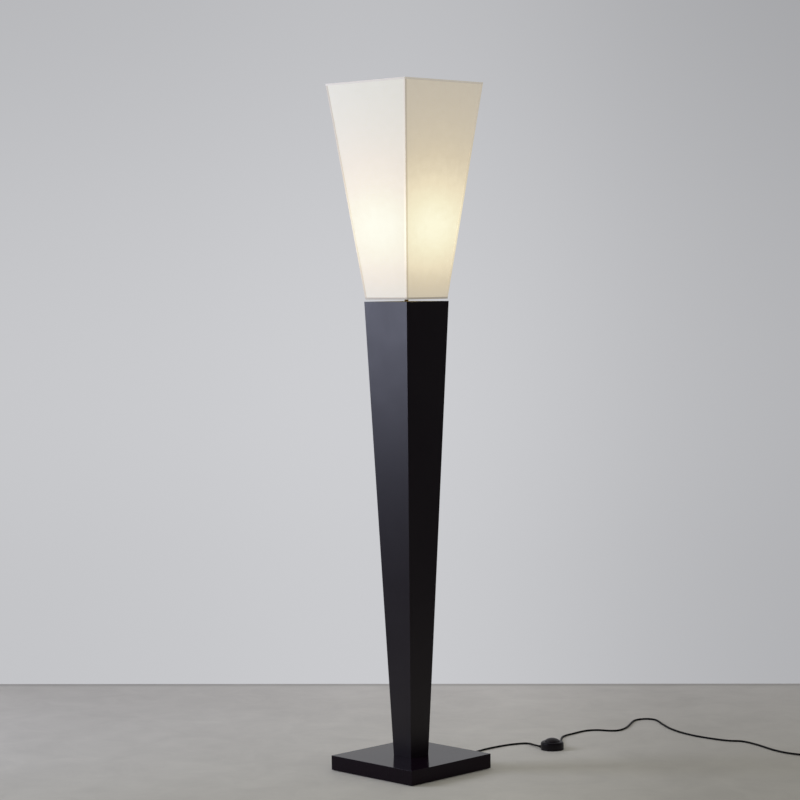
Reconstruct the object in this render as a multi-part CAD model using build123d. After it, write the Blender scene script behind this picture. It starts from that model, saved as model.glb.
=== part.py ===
from build123d import *

import os
from math import asin, atan, cos, pi, radians, sin, sqrt, tan

# Floor lamp: a square base, a column that widens upwards, a lantern shade, a foot switch and its flex.
# Units are millimetres. Z is up and the origin is on the floor, under the middle of the base.
# The front is -Y, the right is +X, and the flex leaves the base at the back, +Y.

# ---------------------------------------------------------------- driving dimensions

# Clearances
glue_gap = 0.1
thread_gap = 0.05
running_gap = 0.06
sliding_gap = 0.3
stop_gap = 0.1
paper_gap = 0.05
flex_gap = 0.1

# Base
base_side = 284.0
base_height = 38.0
base_edge_radius = 1.2
pad_thickness = 2.0
pad_radius = 9.0
cover_side = 236.0
cover_thickness = 3.0
recess_side = 220.0
ballast_air = 2.0
ballast_thickness = 11.0
ballast_hole_radius = 35.0
ballast_margin = 0.5
ballast_screw_inset = 25.0
lead_slot_width = 12.0
lead_depth = 6.0
lead_hole_radius = 12.0
lead_bend_radius = 20.0

# Column
column_foot_side = 62.0
column_top_side = 149.5
column_height = 1141.0
column_edge_radius = 0.8
board_thickness = 10.0
foot_block_height = 60.0
foot_counterbore_radius = 12.0
foot_counterbore_depth = 14.0
guide_board_thickness = 12.0
guide_board_share = 0.5
top_board_thickness = 18.0
top_counterbore_radius = 12.0
top_counterbore_depth = 7.0

# Stem and its hardware
stem_radius = 5.0
stem_bore_radius = 3.5
stem_end_spare = 2.0
washer_radius = 9.0
washer_thickness = 1.5
nut_flats = 14.0
nut_thickness = 4.0

# Shade
shade_gap = 5.5
shade_foot_side = 144.5
shade_top_side = 276.5
shade_height = 535.5
panel_thickness = 0.8
hem_width = 5.0
hem_thickness = 0.4
tape_width = 6.0
tape_thickness = 0.3
wire_radius = 1.5
ring_corner_radius = 5.0
hub_rise = 14.0
hub_radius = 16.0
hub_thickness = 2.5
arm_width = 8.0
arm_thickness = 2.0
arm_root_radius = 10.5

# Bulb, with a 27 mm screw cap
bulb_centre_rise = 190.5
bulb_radius = 30.0
bulb_centre_height = 77.0
bulb_neck_radius = 13.4
bulb_neck_height = 32.0
bulb_seat_height = 14.0
glass_wall = 1.0
bulb_cap_radius = 13.0
bulb_cap_height = 26.0
bulb_cap_wall = 0.5
bulb_tip_radius = 4.5
bulb_tip_height = 2.5
bulb_collar_height = 6.5
bulb_collar_rise = 3.5
bulb_collar_radius = 9.0

# Lampholder
holder_radius = 20.0
holder_wall = 2.5
holder_neck_radius = 9.0
holder_neck_height = 8.0
holder_cap_height = 26.0
holder_mouth_height = 25.0
holder_insert_height = 14.0
contact_height = 4.0
contact_strip = 0.6
contact_width = 6.0
contact_length = 13.0
screw_shell_wall = 0.5
terminal_offset = 12.0
terminal_head_radius = 2.6
terminal_head_height = 1.6
terminal_shank_radius = 1.4
terminal_shank_length = 6.0
locking_screw_radius = 1.5
core_radius = 0.9
core_spread = 1.2

# Screws
wood_screw_head_radius = 3.0
wood_screw_head_height = 1.5
wood_screw_radius = 1.5
wood_screw_length = 13.0
wood_screw_spread = 70.0
ballast_screw_head_radius = 6.0
ballast_screw_head_height = 3.0
ballast_screw_radius = 3.0
ballast_screw_length = 22.0
foot_screw_spread = 14.0
foot_screw_radius = 3.0
foot_screw_flats = 10.0
foot_screw_head = 4.0
foot_screw_length = 56.0

# Flex, its strain relief in the base and its saddle
flex_radius = 2.5
bush_plug_length = 20.0
bush_plug_radius = 4.5
bush_flange_radius = 7.5
bush_flange_thickness = 2.0
bush_tail_length = 24.0
bush_tail_root_radius = 5.5
bush_tail_end_radius = 3.7
saddle_place = 26.0
saddle_width = 8.0
saddle_thickness = 2.0
saddle_reach = 12.0
saddle_screw_place = 8.6

# Foot switch, round, with a flex leaving each side of its rear half, splayed
switch_place = (99.0, 427.0)
switch_turn = 57.0
switch_outlet_offset = 16.5
switch_outlet_splay = 24.0
switch_radius = 30.0
switch_wall = 2.0
switch_split_height = 5.0
switch_side_height = 16.0
switch_shoulder_radius = 24.0
switch_shoulder_height = 21.0
switch_outlet_height = 5.0
button_radius = 20.0
button_top_height = 30.0
button_wall = 2.0
button_crown = 3.0
button_flange_reach = 1.4
button_flange_height = 1.6
button_travel = 3.0
mechanism_radius = 10.5
mechanism_top_height = 10.0
spring_radius = 7.0
spring_wire_radius = 0.5
spring_turns = 4
switch_flex_inset = 12.0
switch_bush_radius = 3.6
switch_bush_end_radius = 3.2
switch_bush_inside = 6.0
switch_bush_collar = 1.6
switch_bush_outside = 7.0
grip_thickness = 1.5
grip_width = 3.0
grip_reach = 4.6
grip_place = 2.3
terminal_block_side = 4.5
terminal_block_setback = 4.7
terminal_block_spacing = 8.0
switch_screw_place = 24.8
switch_screw_radius = 1.25
switch_screw_head_radius = 2.5
switch_screw_head_height = 1.4
switch_screw_top_height = 12.0
switch_boss_radius = 3.0

# Coil of the flex that is put away
coil_centre = (655.6, 831.9)
coil_outer_turn_radius = 34.0
coil_pitch = 5.2
coil_turns_per_layer = 3
coil_layers = 2
coil_edge_radius = 2.0
tie_width = 9.0
tie_thickness = 0.8
tie_turn = 200.0
coil_lead_length = 20.0
coil_entry_heading = 18.7
tail_length = 36.0
tail_heading = 126.7

# Flat two-pin plug
plug_width = 35.3
plug_thickness = 13.7
plug_front_length = 14.0
plug_waist_length = 21.0
plug_waist_width = 12.0
plug_edge_radius = 2.0
plug_sleeve_length = 22.0
plug_sleeve_root_radius = 4.6
plug_sleeve_end_radius = 3.3
plug_flex_inset = 10.0
pin_radius = 2.0
pin_length = 19.0
pin_inset = 9.0
pin_spacing = 18.6
pin_tip_chamfer = 0.8

# Straight first and last runs of the flexes, and the share of a run that an arc may take up at a corner
flex_run_from_base = 22.0
flex_run_to_switch = 25.0
flex_run_from_switch = 20.0
flex_run_to_coil = 25.0
run_share = 0.45

# Points that the flex follows after it leaves the base straight, on the way to the foot switch
flex_to_switch_points = [
    (-14, 236, 2.6),
    (-24, 292, 2.5),
    (-23, 348, 2.5),
    (-15, 398, 2.5),
    (6, 437, 2.5),
]

# Points that the flex follows after the foot switch, along the floor to the coil
flex_to_coil_points = [
    (54, 514, 2.6),
    (21, 555, 2.5),
    (12, 584, 2.5),
    (12, 614, 2.5),
    (9, 645, 2.5),
    (12, 675, 2.5),
    (29, 698, 2.5),
    (62, 709, 2.5),
    (77, 730, 2.5),
    (68, 770, 2.5),
    (46, 812, 2.5),
    (22, 855, 2.5),
    (14, 878, 2.5),
    (18, 899, 2.5),
    (32, 914, 2.5),
    (52, 917, 2.5),
    (73, 905, 2.5),
    (108, 878, 2.5),
    (161, 843, 2.5),
    (216, 819, 2.5),
    (277, 806, 2.5),
    (336, 806, 2.5),
    (386, 813, 2.5),
    (405, 831, 2.5),
    (434, 831, 2.5),
    (484, 816, 2.5),
    (533, 795, 2.5),
    (582, 784, 2.5),
]

# ---------------------------------------------------------------- heights and leans worked out from them

base_bottom = pad_thickness
cover_top = base_bottom + cover_thickness
ballast_bottom = cover_top + ballast_air
recess_top = ballast_bottom + ballast_thickness
lead_height = recess_top - lead_depth

column_bottom = base_height
column_top = column_bottom + column_height
column_lean = atan((column_top_side - column_foot_side) / 2 / column_height)

shade_bottom = column_top + shade_gap
shade_top = shade_bottom + shade_height
shade_lean = atan((shade_top_side - shade_foot_side) / 2 / shade_height)

hub_bottom = shade_bottom + hub_rise
hub_top = hub_bottom + hub_thickness
bulb_tip = shade_bottom + bulb_centre_rise - bulb_centre_height
insert_top = bulb_tip - contact_height
insert_bottom = insert_top - holder_insert_height
holder_bottom = insert_bottom - (holder_cap_height - holder_wall)
holder_split = holder_bottom + holder_cap_height
holder_top = bulb_tip + holder_mouth_height
stem_top = holder_bottom + holder_neck_height

foot_counterbore_top = column_bottom + foot_counterbore_depth
foot_nut_bottom = foot_counterbore_top - washer_thickness - nut_thickness
stem_bottom = foot_nut_bottom - stem_end_spare
top_counterbore_floor = column_top - top_counterbore_depth

bush_end = base_side / 2 + bush_flange_thickness + bush_tail_length
flex_bore_radius = flex_radius + flex_gap
far = 2 * base_side

STANDING = (Align.CENTER, Align.CENTER, Align.MIN)
CORNERS = ((-1, -1), (1, -1), (1, 1), (-1, 1))
SIDES = {"front": 0, "right": 90, "back": 180, "left": 270}


# ---------------------------------------------------------------- basic shapes


def group(solids):
    """Several separate solids as one shape."""
    whole = Part()
    for solid in solids:
        whole += solid
    return whole


def block(width, depth, bottom, top, x=0.0, y=0.0):
    """Upright box between two heights."""
    return Pos(x, y, bottom) * Box(width, depth, top - bottom, align=STANDING)


def rod(radius, bottom, top, x=0.0, y=0.0):
    """Upright round bar between two heights."""
    return Pos(x, y, bottom) * Cylinder(radius, top - bottom, align=STANDING)


def hexagon_rod(flats, bottom, top, x=0.0, y=0.0):
    """Upright hexagonal bar, measured across its flats."""
    outline = RegularPolygon(flats / 2, 6, major_radius=False)
    return Pos(x, y, bottom) * extrude(outline, amount=top - bottom)


def rounded_corner(top, end):
    """Arc from a level start at the top down to an end further out, both points of radius and height."""
    reach = end[0] - top[0]
    drop = top[1] - end[1]
    radius = (reach**2 + drop**2) / (2 * drop)
    halfway = asin(reach / radius) / 2
    crown = (top[0] + radius * sin(halfway), top[1] - radius * (1 - cos(halfway)))
    return ThreePointArc(end, crown, top)


def turned(points):
    """Solid of revolution about Z, from points of radius and height."""
    return revolve(Plane.XZ * make_face(Polyline(*points, close=True)), axis=Axis.Z)


def tapered_block(lower_side, upper_side, bottom, top):
    """Upright square block with flat sides that lean evenly from its lower to its upper side."""
    lower = [Vector(x * lower_side / 2, y * lower_side / 2, bottom) for x, y in CORNERS]
    upper = [Vector(x * upper_side / 2, y * upper_side / 2, top) for x, y in CORNERS]
    faces = [Face(Wire.make_polygon(lower)), Face(Wire.make_polygon(upper))]
    for here in range(len(CORNERS)):
        after = (here + 1) % len(CORNERS)
        faces.append(Face(Wire.make_polygon([lower[here], lower[after], upper[after], upper[here]])))
    return Solid(Shell(faces))


def rounded_corners(solid, radius):
    """A tapered block with its four long corner edges rounded."""
    corner_edges = solid.edges().filter_by(lambda edge: abs((edge @ 1 - edge @ 0).Z) > radius)
    return fillet(corner_edges, radius)


def front_quarter(bottom, top):
    """Everything that is nearer to the front than to any other side, between two heights."""
    outline = Polyline((0, 0), (far, -far), (-far, -far), close=True)
    return Pos(0, 0, bottom) * extrude(make_face(outline), amount=top - bottom)


def countersunk(head_radius, head_height, shank_radius, length, grow=0.0):
    """Screw with a cone head, point up, its head's flat face at height zero."""
    return turned(
        [
            (0, 0),
            (head_radius + grow, 0),
            (shank_radius + grow, head_height),
            (shank_radius + grow, length),
            (0, length),
        ]
    )


def flex_tube(name, route, radius, radii=None):
    """Round tube along straight runs that are joined by tangent arcs."""
    points = [Vector(*point) for point in route]
    if radii is None:
        radii = []
        for before, corner, after in zip(points, points[1:], points[2:]):
            incoming = corner - before
            outgoing = after - corner
            half_turn = radians(incoming.get_angle(outgoing)) / 2
            radii.append(run_share * min(incoming.length, outgoing.length) / tan(half_turn))
    path = FilletPolyline(*points, radius=radii)
    tube = sweep(Plane(origin=path @ 0, z_dir=path % 0) * Circle(radius), path=path)
    expected = pi * radius**2 * path.length
    print(f"{name}: {path.length:.1f} mm long, volume {tube.volume / expected:.5f} of section x length")
    print(f"{name}: bend radii {[round(bend) for bend in radii]}")
    return tube


# ---------------------------------------------------------------- base


def base_screw_places():
    """Middles of the small screws that hold the bottom cover."""
    edge = (recess_side + cover_side) / 4
    return [(edge * x, wood_screw_spread * y) for x, y in CORNERS] + [
        (wood_screw_spread * x, edge * y) for x, y in CORNERS
    ]


def ballast_screw_places():
    """Middles of the screws that hold the ballast."""
    place = recess_side / 2 - ballast_screw_inset
    return [(place * x, place * y) for x, y in CORNERS]


def foot_screw_places():
    """Middles of the screws that hold the column on the base."""
    return [(foot_screw_spread * x, foot_screw_spread * y) for x, y in CORNERS]


def wood_screw(grow=0.0):
    return countersunk(
        wood_screw_head_radius, wood_screw_head_height, wood_screw_radius, wood_screw_length, grow
    )


def ballast_screw(grow=0.0):
    return countersunk(
        ballast_screw_head_radius,
        ballast_screw_head_height,
        ballast_screw_radius,
        ballast_screw_length,
        grow,
    )


def wood_screw_locations():
    """Where each small wood screw starts: the cover's, and the two of the saddle."""
    cover = [Pos(x, y, base_bottom) for x, y in base_screw_places()]
    saddle = [
        Pos(x, saddle_place, recess_top - saddle_thickness)
        for x in (-saddle_screw_place, saddle_screw_place)
    ]
    return cover + saddle


def base_plate():
    """Square board, hollow underneath, with a way through for the lead from the back to the middle."""
    board = block(base_side, base_side, base_bottom, base_height)
    board = fillet(board.edges().filter_by(Axis.Z), base_edge_radius)
    board = fillet(board.faces().sort_by(Axis.Z)[-1].edges(), base_edge_radius / 2)
    board -= block(cover_side, cover_side, base_bottom, cover_top)
    board -= block(recess_side, recess_side, cover_top, recess_top)
    board -= rod(lead_hole_radius, recess_top, base_height)
    bush_hole = Cylinder(bush_plug_radius + flex_gap, base_side / 2, align=STANDING)
    board -= Pos(0, recess_side / 4, lead_height) * Rot(-90, 0, 0) * bush_hole
    for x, y in foot_screw_places():
        board -= rod(foot_screw_radius + thread_gap, recess_top, base_height, x, y)
    for x, y in ballast_screw_places():
        board -= Pos(x, y, ballast_bottom) * ballast_screw(thread_gap)
    for place in wood_screw_locations():
        board -= place * wood_screw(thread_gap)
    return board


def ballast_plate():
    """Steel plate with a hole in the middle and a slot to the back for the lead."""
    side = recess_side - 2 * ballast_margin
    plate = block(side, side, ballast_bottom, recess_top)
    plate -= rod(ballast_hole_radius, ballast_bottom, recess_top)
    plate -= block(lead_slot_width, side / 2, ballast_bottom, recess_top, y=side / 4)
    for x, y in ballast_screw_places():
        plate -= Pos(x, y, ballast_bottom) * ballast_screw(thread_gap)
    return plate


def ballast_screws():
    return group(Pos(x, y, ballast_bottom) * ballast_screw() for x, y in ballast_screw_places())


def base_cover():
    """Thin sheet that closes the hollow under the base."""
    side = cover_side - 2 * glue_gap
    sheet = block(side, side, base_bottom, cover_top)
    for x, y in base_screw_places():
        sheet -= Pos(x, y, base_bottom) * wood_screw(thread_gap)
    return sheet


def floor_pads():
    place = (base_side + cover_side) / 4
    return group(rod(pad_radius, 0, pad_thickness, place * x, place * y) for x, y in CORNERS)


def wood_screws():
    return group(place * wood_screw() for place in wood_screw_locations())


def foot_screws():
    """Hexagon screws, up through the base into the column's foot block."""
    screws = []
    for x, y in foot_screw_places():
        shank = rod(foot_screw_radius, recess_top, recess_top + foot_screw_length, x, y)
        screws.append(shank + hexagon_rod(foot_screw_flats, recess_top - foot_screw_head, recess_top, x, y))
    return group(screws)


def flex_bush():
    """Rubber strain relief: a plug in the back of the base, a flange, and a tapered tail."""
    side = base_side / 2
    profile = [
        (flex_bore_radius, side - bush_plug_length),
        (bush_plug_radius, side - bush_plug_length),
        (bush_plug_radius, side),
        (bush_flange_radius, side),
        (bush_flange_radius, side + bush_flange_thickness),
        (bush_tail_root_radius, side + bush_flange_thickness),
        (bush_tail_end_radius, bush_end),
        (flex_bore_radius, bush_end),
    ]
    return Pos(0, 0, lead_height) * Rot(-90, 0, 0) * turned(profile)


def saddle():
    """Strap that clamps the lead against the roof of the hollow."""
    inner = flex_bore_radius
    leg = inner + saddle_thickness / 2
    strap = block(2 * leg, saddle_width, lead_height - leg, recess_top, y=saddle_place)
    strap += block(
        2 * saddle_reach, saddle_width, recess_top - saddle_thickness, recess_top, y=saddle_place
    )
    strap -= block(2 * inner, saddle_width, lead_height, recess_top, y=saddle_place)
    channel = Cylinder(inner, saddle_width, rotation=(90, 0, 0))
    strap -= Pos(0, saddle_place, lead_height) * channel
    for x in (-saddle_screw_place, saddle_screw_place):
        strap -= Pos(x, saddle_place, recess_top - saddle_thickness) * wood_screw(thread_gap)
    return strap


# ---------------------------------------------------------------- column


def column_block(bottom, top, inset=0.0):
    """The column's outline between two heights, drawn in square to its faces by an inset."""
    grow = (column_top_side - column_foot_side) / column_height
    lower, upper = (
        column_foot_side + grow * (height - column_bottom) - 2 * inset / cos(column_lean)
        for height in (bottom, top)
    )
    return tapered_block(lower, upper, bottom, top)


def column_board(angle):
    """One of the four boards, mitred along both long edges."""
    outer = rounded_corners(column_block(column_bottom, column_top), column_edge_radius)
    walls = outer - column_block(column_bottom, column_top, board_thickness)
    return Rot(0, 0, angle) * (walls & front_quarter(column_bottom, column_top))


def inner_board(bottom, top):
    """A board that fills the column's inside between two heights, with a hole for the stem."""
    board = column_block(bottom, top, board_thickness + glue_gap)
    return board - rod(stem_radius + thread_gap, bottom, top)


def foot_block():
    """Block in the column's foot, with room below for the stem's nut."""
    board = inner_board(column_bottom, column_bottom + foot_block_height)
    board -= rod(foot_counterbore_radius, column_bottom, foot_counterbore_top)
    screw_top = recess_top + foot_screw_length
    for x, y in foot_screw_places():
        board -= rod(foot_screw_radius + thread_gap, column_bottom, screw_top, x, y)
    return board


def guide_board():
    """Board at mid height that steadies the stem."""
    bottom = column_bottom + guide_board_share * column_height
    return inner_board(bottom, bottom + guide_board_thickness)


def top_board():
    """Board that closes the column, with the stem's nut sunk in it."""
    board = inner_board(column_top - top_board_thickness, column_top)
    return board - rod(top_counterbore_radius, top_counterbore_floor, column_top)


# ---------------------------------------------------------------- stem


def stem_stacks():
    """Bottom of each washer and of each nut on the stem."""
    return [
        (foot_counterbore_top - washer_thickness, foot_nut_bottom),
        (top_counterbore_floor, top_counterbore_floor + washer_thickness),
        (hub_bottom - washer_thickness, hub_bottom - washer_thickness - nut_thickness),
        (hub_top, hub_top + washer_thickness),
    ]


def stem_pipe():
    return rod(stem_radius, stem_bottom, stem_top) - rod(stem_bore_radius, stem_bottom, stem_top)


def stem_washers():
    hole = stem_radius + thread_gap
    return group(
        rod(washer_radius, bottom, bottom + washer_thickness) - rod(hole, bottom, bottom + washer_thickness)
        for bottom, _ in stem_stacks()
    )


def stem_nuts():
    hole = stem_radius + thread_gap
    return group(
        hexagon_rod(nut_flats, bottom, bottom + nut_thickness) - rod(hole, bottom, bottom + nut_thickness)
        for _, bottom in stem_stacks()
    )


# ---------------------------------------------------------------- shade


def shade_side(height, inset=0.0):
    """Side of the shade at a height, drawn in square to its panels by an inset."""
    grow = (shade_top_side - shade_foot_side) / shade_height
    return shade_foot_side + grow * (height - shade_bottom) - 2 * inset / cos(shade_lean)


def shade_block(bottom, top, inset=0.0):
    return tapered_block(shade_side(bottom, inset), shade_side(top, inset), bottom, top)


panel_bottom = shade_bottom + hem_thickness + paper_gap
panel_top = shade_top - hem_thickness - paper_gap


def shade_panel(angle):
    """One of the four paper-faced panels, mitred at the corners."""
    walls = shade_block(panel_bottom, panel_top) - shade_block(panel_bottom, panel_top, panel_thickness)
    return Rot(0, 0, angle) * (walls & front_quarter(panel_bottom, panel_top))


def hem(edge, inward):
    """Paper strip folded over the panels' edge at one end; inward is 1 above the edge and -1 below it."""
    turn = edge + inward * hem_thickness
    end = edge + inward * hem_width
    low, high = sorted((edge, end))
    strip = shade_block(low, high, -hem_thickness - paper_gap)
    strip -= shade_block(*sorted((turn, end)), -paper_gap)
    return strip - shade_block(*sorted((edge, turn)), panel_thickness)


def lower_hem():
    return hem(shade_bottom, 1)


def upper_hem():
    return hem(shade_top, -1)


def corner_tapes():
    """Strip folded over each corner of the shade, between the hems."""
    bottom = shade_bottom + hem_width + paper_gap
    top = shade_top - hem_width - paper_gap
    skin = shade_block(bottom, top, -tape_thickness - paper_gap) - shade_block(bottom, top, -paper_gap)
    lower = shade_side(bottom) / 2 - tape_width
    upper = shade_side(top) / 2 - tape_width
    outline = make_face(Polyline((-lower, bottom), (lower, bottom), (upper, top), (-upper, top), close=True))
    between = extrude(Plane.XZ * outline, amount=far, both=True)
    skin -= between
    return skin - Rot(0, 0, 90) * between


def ring_half(height):
    """Distance from the axis to the middle of a ring's wire, against the panels."""
    return shade_side(height, panel_thickness + flex_gap) / 2 - wire_radius / cos(shade_lean)


lower_ring_height = shade_bottom + hem_thickness + wire_radius
upper_ring_height = shade_top - hem_thickness - wire_radius


def wire_ring(height):
    """Square ring of round wire, bent round at the corners."""
    half = ring_half(height)
    path = (Pos(0, 0, height) * RectangleRounded(2 * half, 2 * half, ring_corner_radius)).wire()
    return sweep(Plane(origin=path @ 0, z_dir=path % 0) * Circle(wire_radius), path=path)


def corner_struts():
    """Straight wires along the corners, from ring to ring."""
    bottom = lower_ring_height + wire_radius + flex_gap
    top = upper_ring_height - wire_radius - flex_gap
    low = Vector(ring_half(bottom), ring_half(bottom), bottom)
    high = Vector(ring_half(top), ring_half(top), top)
    run = high - low
    spare = 4 * wire_radius
    start = low - run.normalized() * spare
    wire = Plane(origin=start, z_dir=run) * Cylinder(wire_radius, run.length + 2 * spare, align=STANDING)
    strut = wire & block(far, far, bottom, top)
    return group(Rot(0, 0, angle) * strut for angle in SIDES.values())


def carrier_hub():
    """Disc that turns on the stem between the two inner washers."""
    return rod(hub_radius, hub_bottom, hub_top) - rod(stem_radius + running_gap, hub_bottom, hub_top)


def carrier_arms():
    """Four flat bars from under the hub down onto the lower ring."""
    top = hub_bottom
    seat = lower_ring_height + wire_radius + flex_gap
    end = ring_half(lower_ring_height) + wire_radius / 2
    landing = end - 3 * wire_radius
    outline = Polyline(
        (arm_root_radius, top),
        (hub_radius + arm_thickness, top),
        (landing, seat + arm_thickness),
        (end, seat + arm_thickness),
        (end, seat),
        (landing - arm_thickness / 2, seat),
        (hub_radius + arm_thickness / 2, top - arm_thickness),
        (arm_root_radius, top - arm_thickness),
        close=True,
    )
    arm = extrude(Plane.XZ * make_face(outline), amount=arm_width / 2, both=True)
    return group(Rot(0, 0, angle) * arm for angle in SIDES.values())


# ---------------------------------------------------------------- lampholder


def holder_cap():
    """Lower half of the lampholder, screwed on the stem."""
    hole = stem_radius + thread_gap
    shoulder = holder_bottom + holder_neck_height + holder_wall
    profile = [
        (hole, holder_bottom),
        (holder_neck_radius, holder_bottom),
        (holder_neck_radius, holder_bottom + holder_neck_height - holder_wall),
        (holder_radius, shoulder + holder_wall),
        (holder_radius, holder_split),
        (holder_radius - holder_wall, holder_split),
        (holder_radius - holder_wall, shoulder + 2 * holder_wall),
        (holder_neck_radius - holder_wall / 2, shoulder),
        (hole, shoulder),
    ]
    screw = Cylinder(locking_screw_radius + thread_gap, holder_neck_radius, align=STANDING)
    return turned(profile) - Pos(0, 0, locking_screw_height) * Rot(0, 90, 0) * screw


locking_screw_height = holder_bottom + (holder_neck_height - holder_wall) / 2


def locking_screw():
    """Small screw that keeps the lampholder from turning on the stem."""
    length = holder_neck_radius - stem_radius - 2 * thread_gap
    screw = Cylinder(locking_screw_radius, length, align=STANDING)
    return Pos(stem_radius + 2 * thread_gap, 0, locking_screw_height) * Rot(0, 90, 0) * screw


def holder_shell():
    """Outer sleeve of the lampholder, drawn in at the mouth."""
    inner = holder_radius - holder_wall
    mouth = screw_shell_outer_radius + running_gap
    return turned(
        [
            (inner, holder_split),
            (holder_radius, holder_split),
            (holder_radius, holder_top - holder_wall / 2),
            (holder_radius - holder_wall / 2, holder_top),
            (mouth, holder_top),
            (mouth, holder_top - holder_wall),
            (inner, holder_top - holder_wall),
        ]
    )


screw_shell_inner_radius = bulb_cap_radius + running_gap
screw_shell_outer_radius = screw_shell_inner_radius + screw_shell_wall


def holder_insert():
    """Ceramic block that carries the contacts."""
    insert = rod(holder_radius - holder_wall - running_gap, insert_bottom, insert_top)
    for x in (-terminal_offset, terminal_offset):
        hole_top = insert_bottom + terminal_shank_length
        insert -= rod(terminal_shank_radius + thread_gap, insert_bottom, hole_top, x)
    return insert


def screw_shell():
    """Thin metal sleeve that the bulb's cap turns in."""
    top = holder_top - holder_wall / 2
    sleeve = rod(screw_shell_outer_radius, insert_top, top)
    return sleeve - rod(screw_shell_inner_radius, insert_top, top)


def centre_contact():
    """Springy strip under the bulb's tip."""
    half = contact_length / 2
    outline = Polyline(
        (-half, insert_top),
        (0, insert_top),
        (0, insert_top + contact_strip),
        (contact_strip - half, insert_top + contact_strip),
        (-bulb_tip_radius / 2, bulb_tip - contact_strip),
        (half, bulb_tip - contact_strip),
        (half, bulb_tip),
        (-bulb_tip_radius / 2 - contact_strip, bulb_tip),
        (-half - contact_strip, insert_top + contact_strip),
        close=True,
    )
    return extrude(Plane.XZ * make_face(outline), amount=contact_width / 2, both=True)


def terminal_screws():
    """The two screws under the insert that hold the lead's cores."""
    return group(
        rod(terminal_shank_radius, insert_bottom, insert_bottom + terminal_shank_length, x)
        + rod(terminal_head_radius, insert_bottom - terminal_head_height, insert_bottom, x)
        for x in (-terminal_offset, terminal_offset)
    )


# ---------------------------------------------------------------- bulb


def bulb_outline(inset):
    """Neck, flare and globe of the bulb, from the seat up to the top, drawn in by an inset."""
    centre = bulb_tip + bulb_centre_height
    neck = bulb_tip + bulb_neck_height
    rise = centre - neck
    flare = (bulb_neck_radius**2 + rise**2 - bulb_radius**2) / (2 * (bulb_radius - bulb_neck_radius))
    flare_middle = Vector(bulb_neck_radius + flare, neck)
    globe_middle = Vector(0, centre)
    towards_globe = (globe_middle - flare_middle).normalized()
    flare_radius = flare + inset
    globe_radius = bulb_radius - inset
    start = Vector(bulb_neck_radius - inset, neck)
    join = flare_middle + towards_globe * flare_radius
    halfway = flare_middle + (towards_globe + Vector(-1, 0)).normalized() * flare_radius
    outward = (join - globe_middle).normalized()
    top = globe_middle + Vector(0, globe_radius)
    side = globe_middle + (outward + Vector(0, 1)).normalized() * globe_radius
    seat = Vector(bulb_neck_radius - inset, bulb_tip + bulb_cap_height)
    root_radius = bulb_cap_radius - bulb_cap_wall - thread_gap - inset
    root_top = Vector(root_radius, bulb_tip + bulb_cap_height)
    root = Vector(root_radius, bulb_tip + bulb_seat_height)
    edges = [
        Line(root, root_top),
        Line(root_top, seat),
        Line(seat, start),
        ThreePointArc(start, halfway, join),
        ThreePointArc(join, side, top),
    ]
    return edges, root, top


def bulb_glass():
    """Hollow glass of the bulb, seated in its cap."""
    outer, outer_root, outer_top = bulb_outline(0)
    inner, inner_root, inner_top = bulb_outline(glass_wall)
    edges = outer + inner + [Line(outer_root, inner_root), Line(outer_top, inner_top)]
    return revolve(Plane.XZ * make_face(edges), axis=Axis.Z)


def bulb_cap():
    """Thin metal screw cap of the bulb, open where the black collar closes it."""
    lip = bulb_cap_radius - bulb_cap_wall
    shoulder = bulb_tip + bulb_collar_height + bulb_cap_wall
    return turned(
        [
            (bulb_collar_radius, bulb_tip + bulb_collar_rise),
            (bulb_cap_radius, bulb_tip + bulb_collar_height),
            (bulb_cap_radius, bulb_tip + bulb_cap_height - thread_gap),
            (lip, bulb_tip + bulb_cap_height - thread_gap),
            (lip, shoulder),
            (bulb_collar_radius, bulb_tip + bulb_collar_rise + bulb_cap_wall),
        ]
    )


def bulb_collar():
    """Insulating ring between the bulb's cap and its tip."""
    hole = bulb_tip_radius + running_gap
    outer = bulb_collar_radius - thread_gap
    return turned(
        [
            (hole, bulb_tip + bulb_tip_height / 2),
            (outer, bulb_tip + bulb_collar_rise),
            (outer, bulb_tip + bulb_collar_height),
            (hole, bulb_tip + bulb_collar_height),
        ]
    )


def bulb_tip_contact():
    """Round metal contact at the bulb's lower end."""
    flat = bulb_tip_radius - bulb_tip_height / 2
    return turned(
        [
            (0, bulb_tip),
            (flat, bulb_tip),
            (bulb_tip_radius, bulb_tip + bulb_tip_height / 2),
            (bulb_tip_radius, bulb_tip + bulb_tip_height),
            (0, bulb_tip + bulb_tip_height),
        ]
    )


# ---------------------------------------------------------------- lead inside the lamp

sheath_top = stem_top + holder_wall + core_spread
core_top = insert_bottom - terminal_head_height


def inner_lead():
    """The flex inside the lamp, from the back of the base to the middle and up the stem."""
    route = [(0, base_side / 2, lead_height), (0, 0, lead_height), (0, 0, sheath_top)]
    return flex_tube("inner_lead", route, flex_radius, [lead_bend_radius])


def core_wires():
    """The lead's two cores, from the end of its sheath to the terminals."""
    rise = core_top - sheath_top
    wires = []
    for side in (-1, 1):
        route = [
            (side * core_spread, 0, sheath_top),
            (side * core_spread, 0, sheath_top + rise / 3),
            (side * terminal_offset, 0, core_top - rise / 3),
            (side * terminal_offset, 0, core_top),
        ]
        wires.append(flex_tube("core", route, core_radius))
    return group(wires)


# ---------------------------------------------------------------- foot switch, in its own frame


LAMP_SIDE = 1
COIL_SIDE = -1
OUTLETS = (LAMP_SIDE, COIL_SIDE)

wall_distance = sqrt(switch_radius**2 - switch_outlet_offset**2)
flex_end_distance = wall_distance - switch_flex_inset
bush_face_distance = wall_distance + switch_bush_outside
button_ceiling = button_top_height - button_crown


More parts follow.
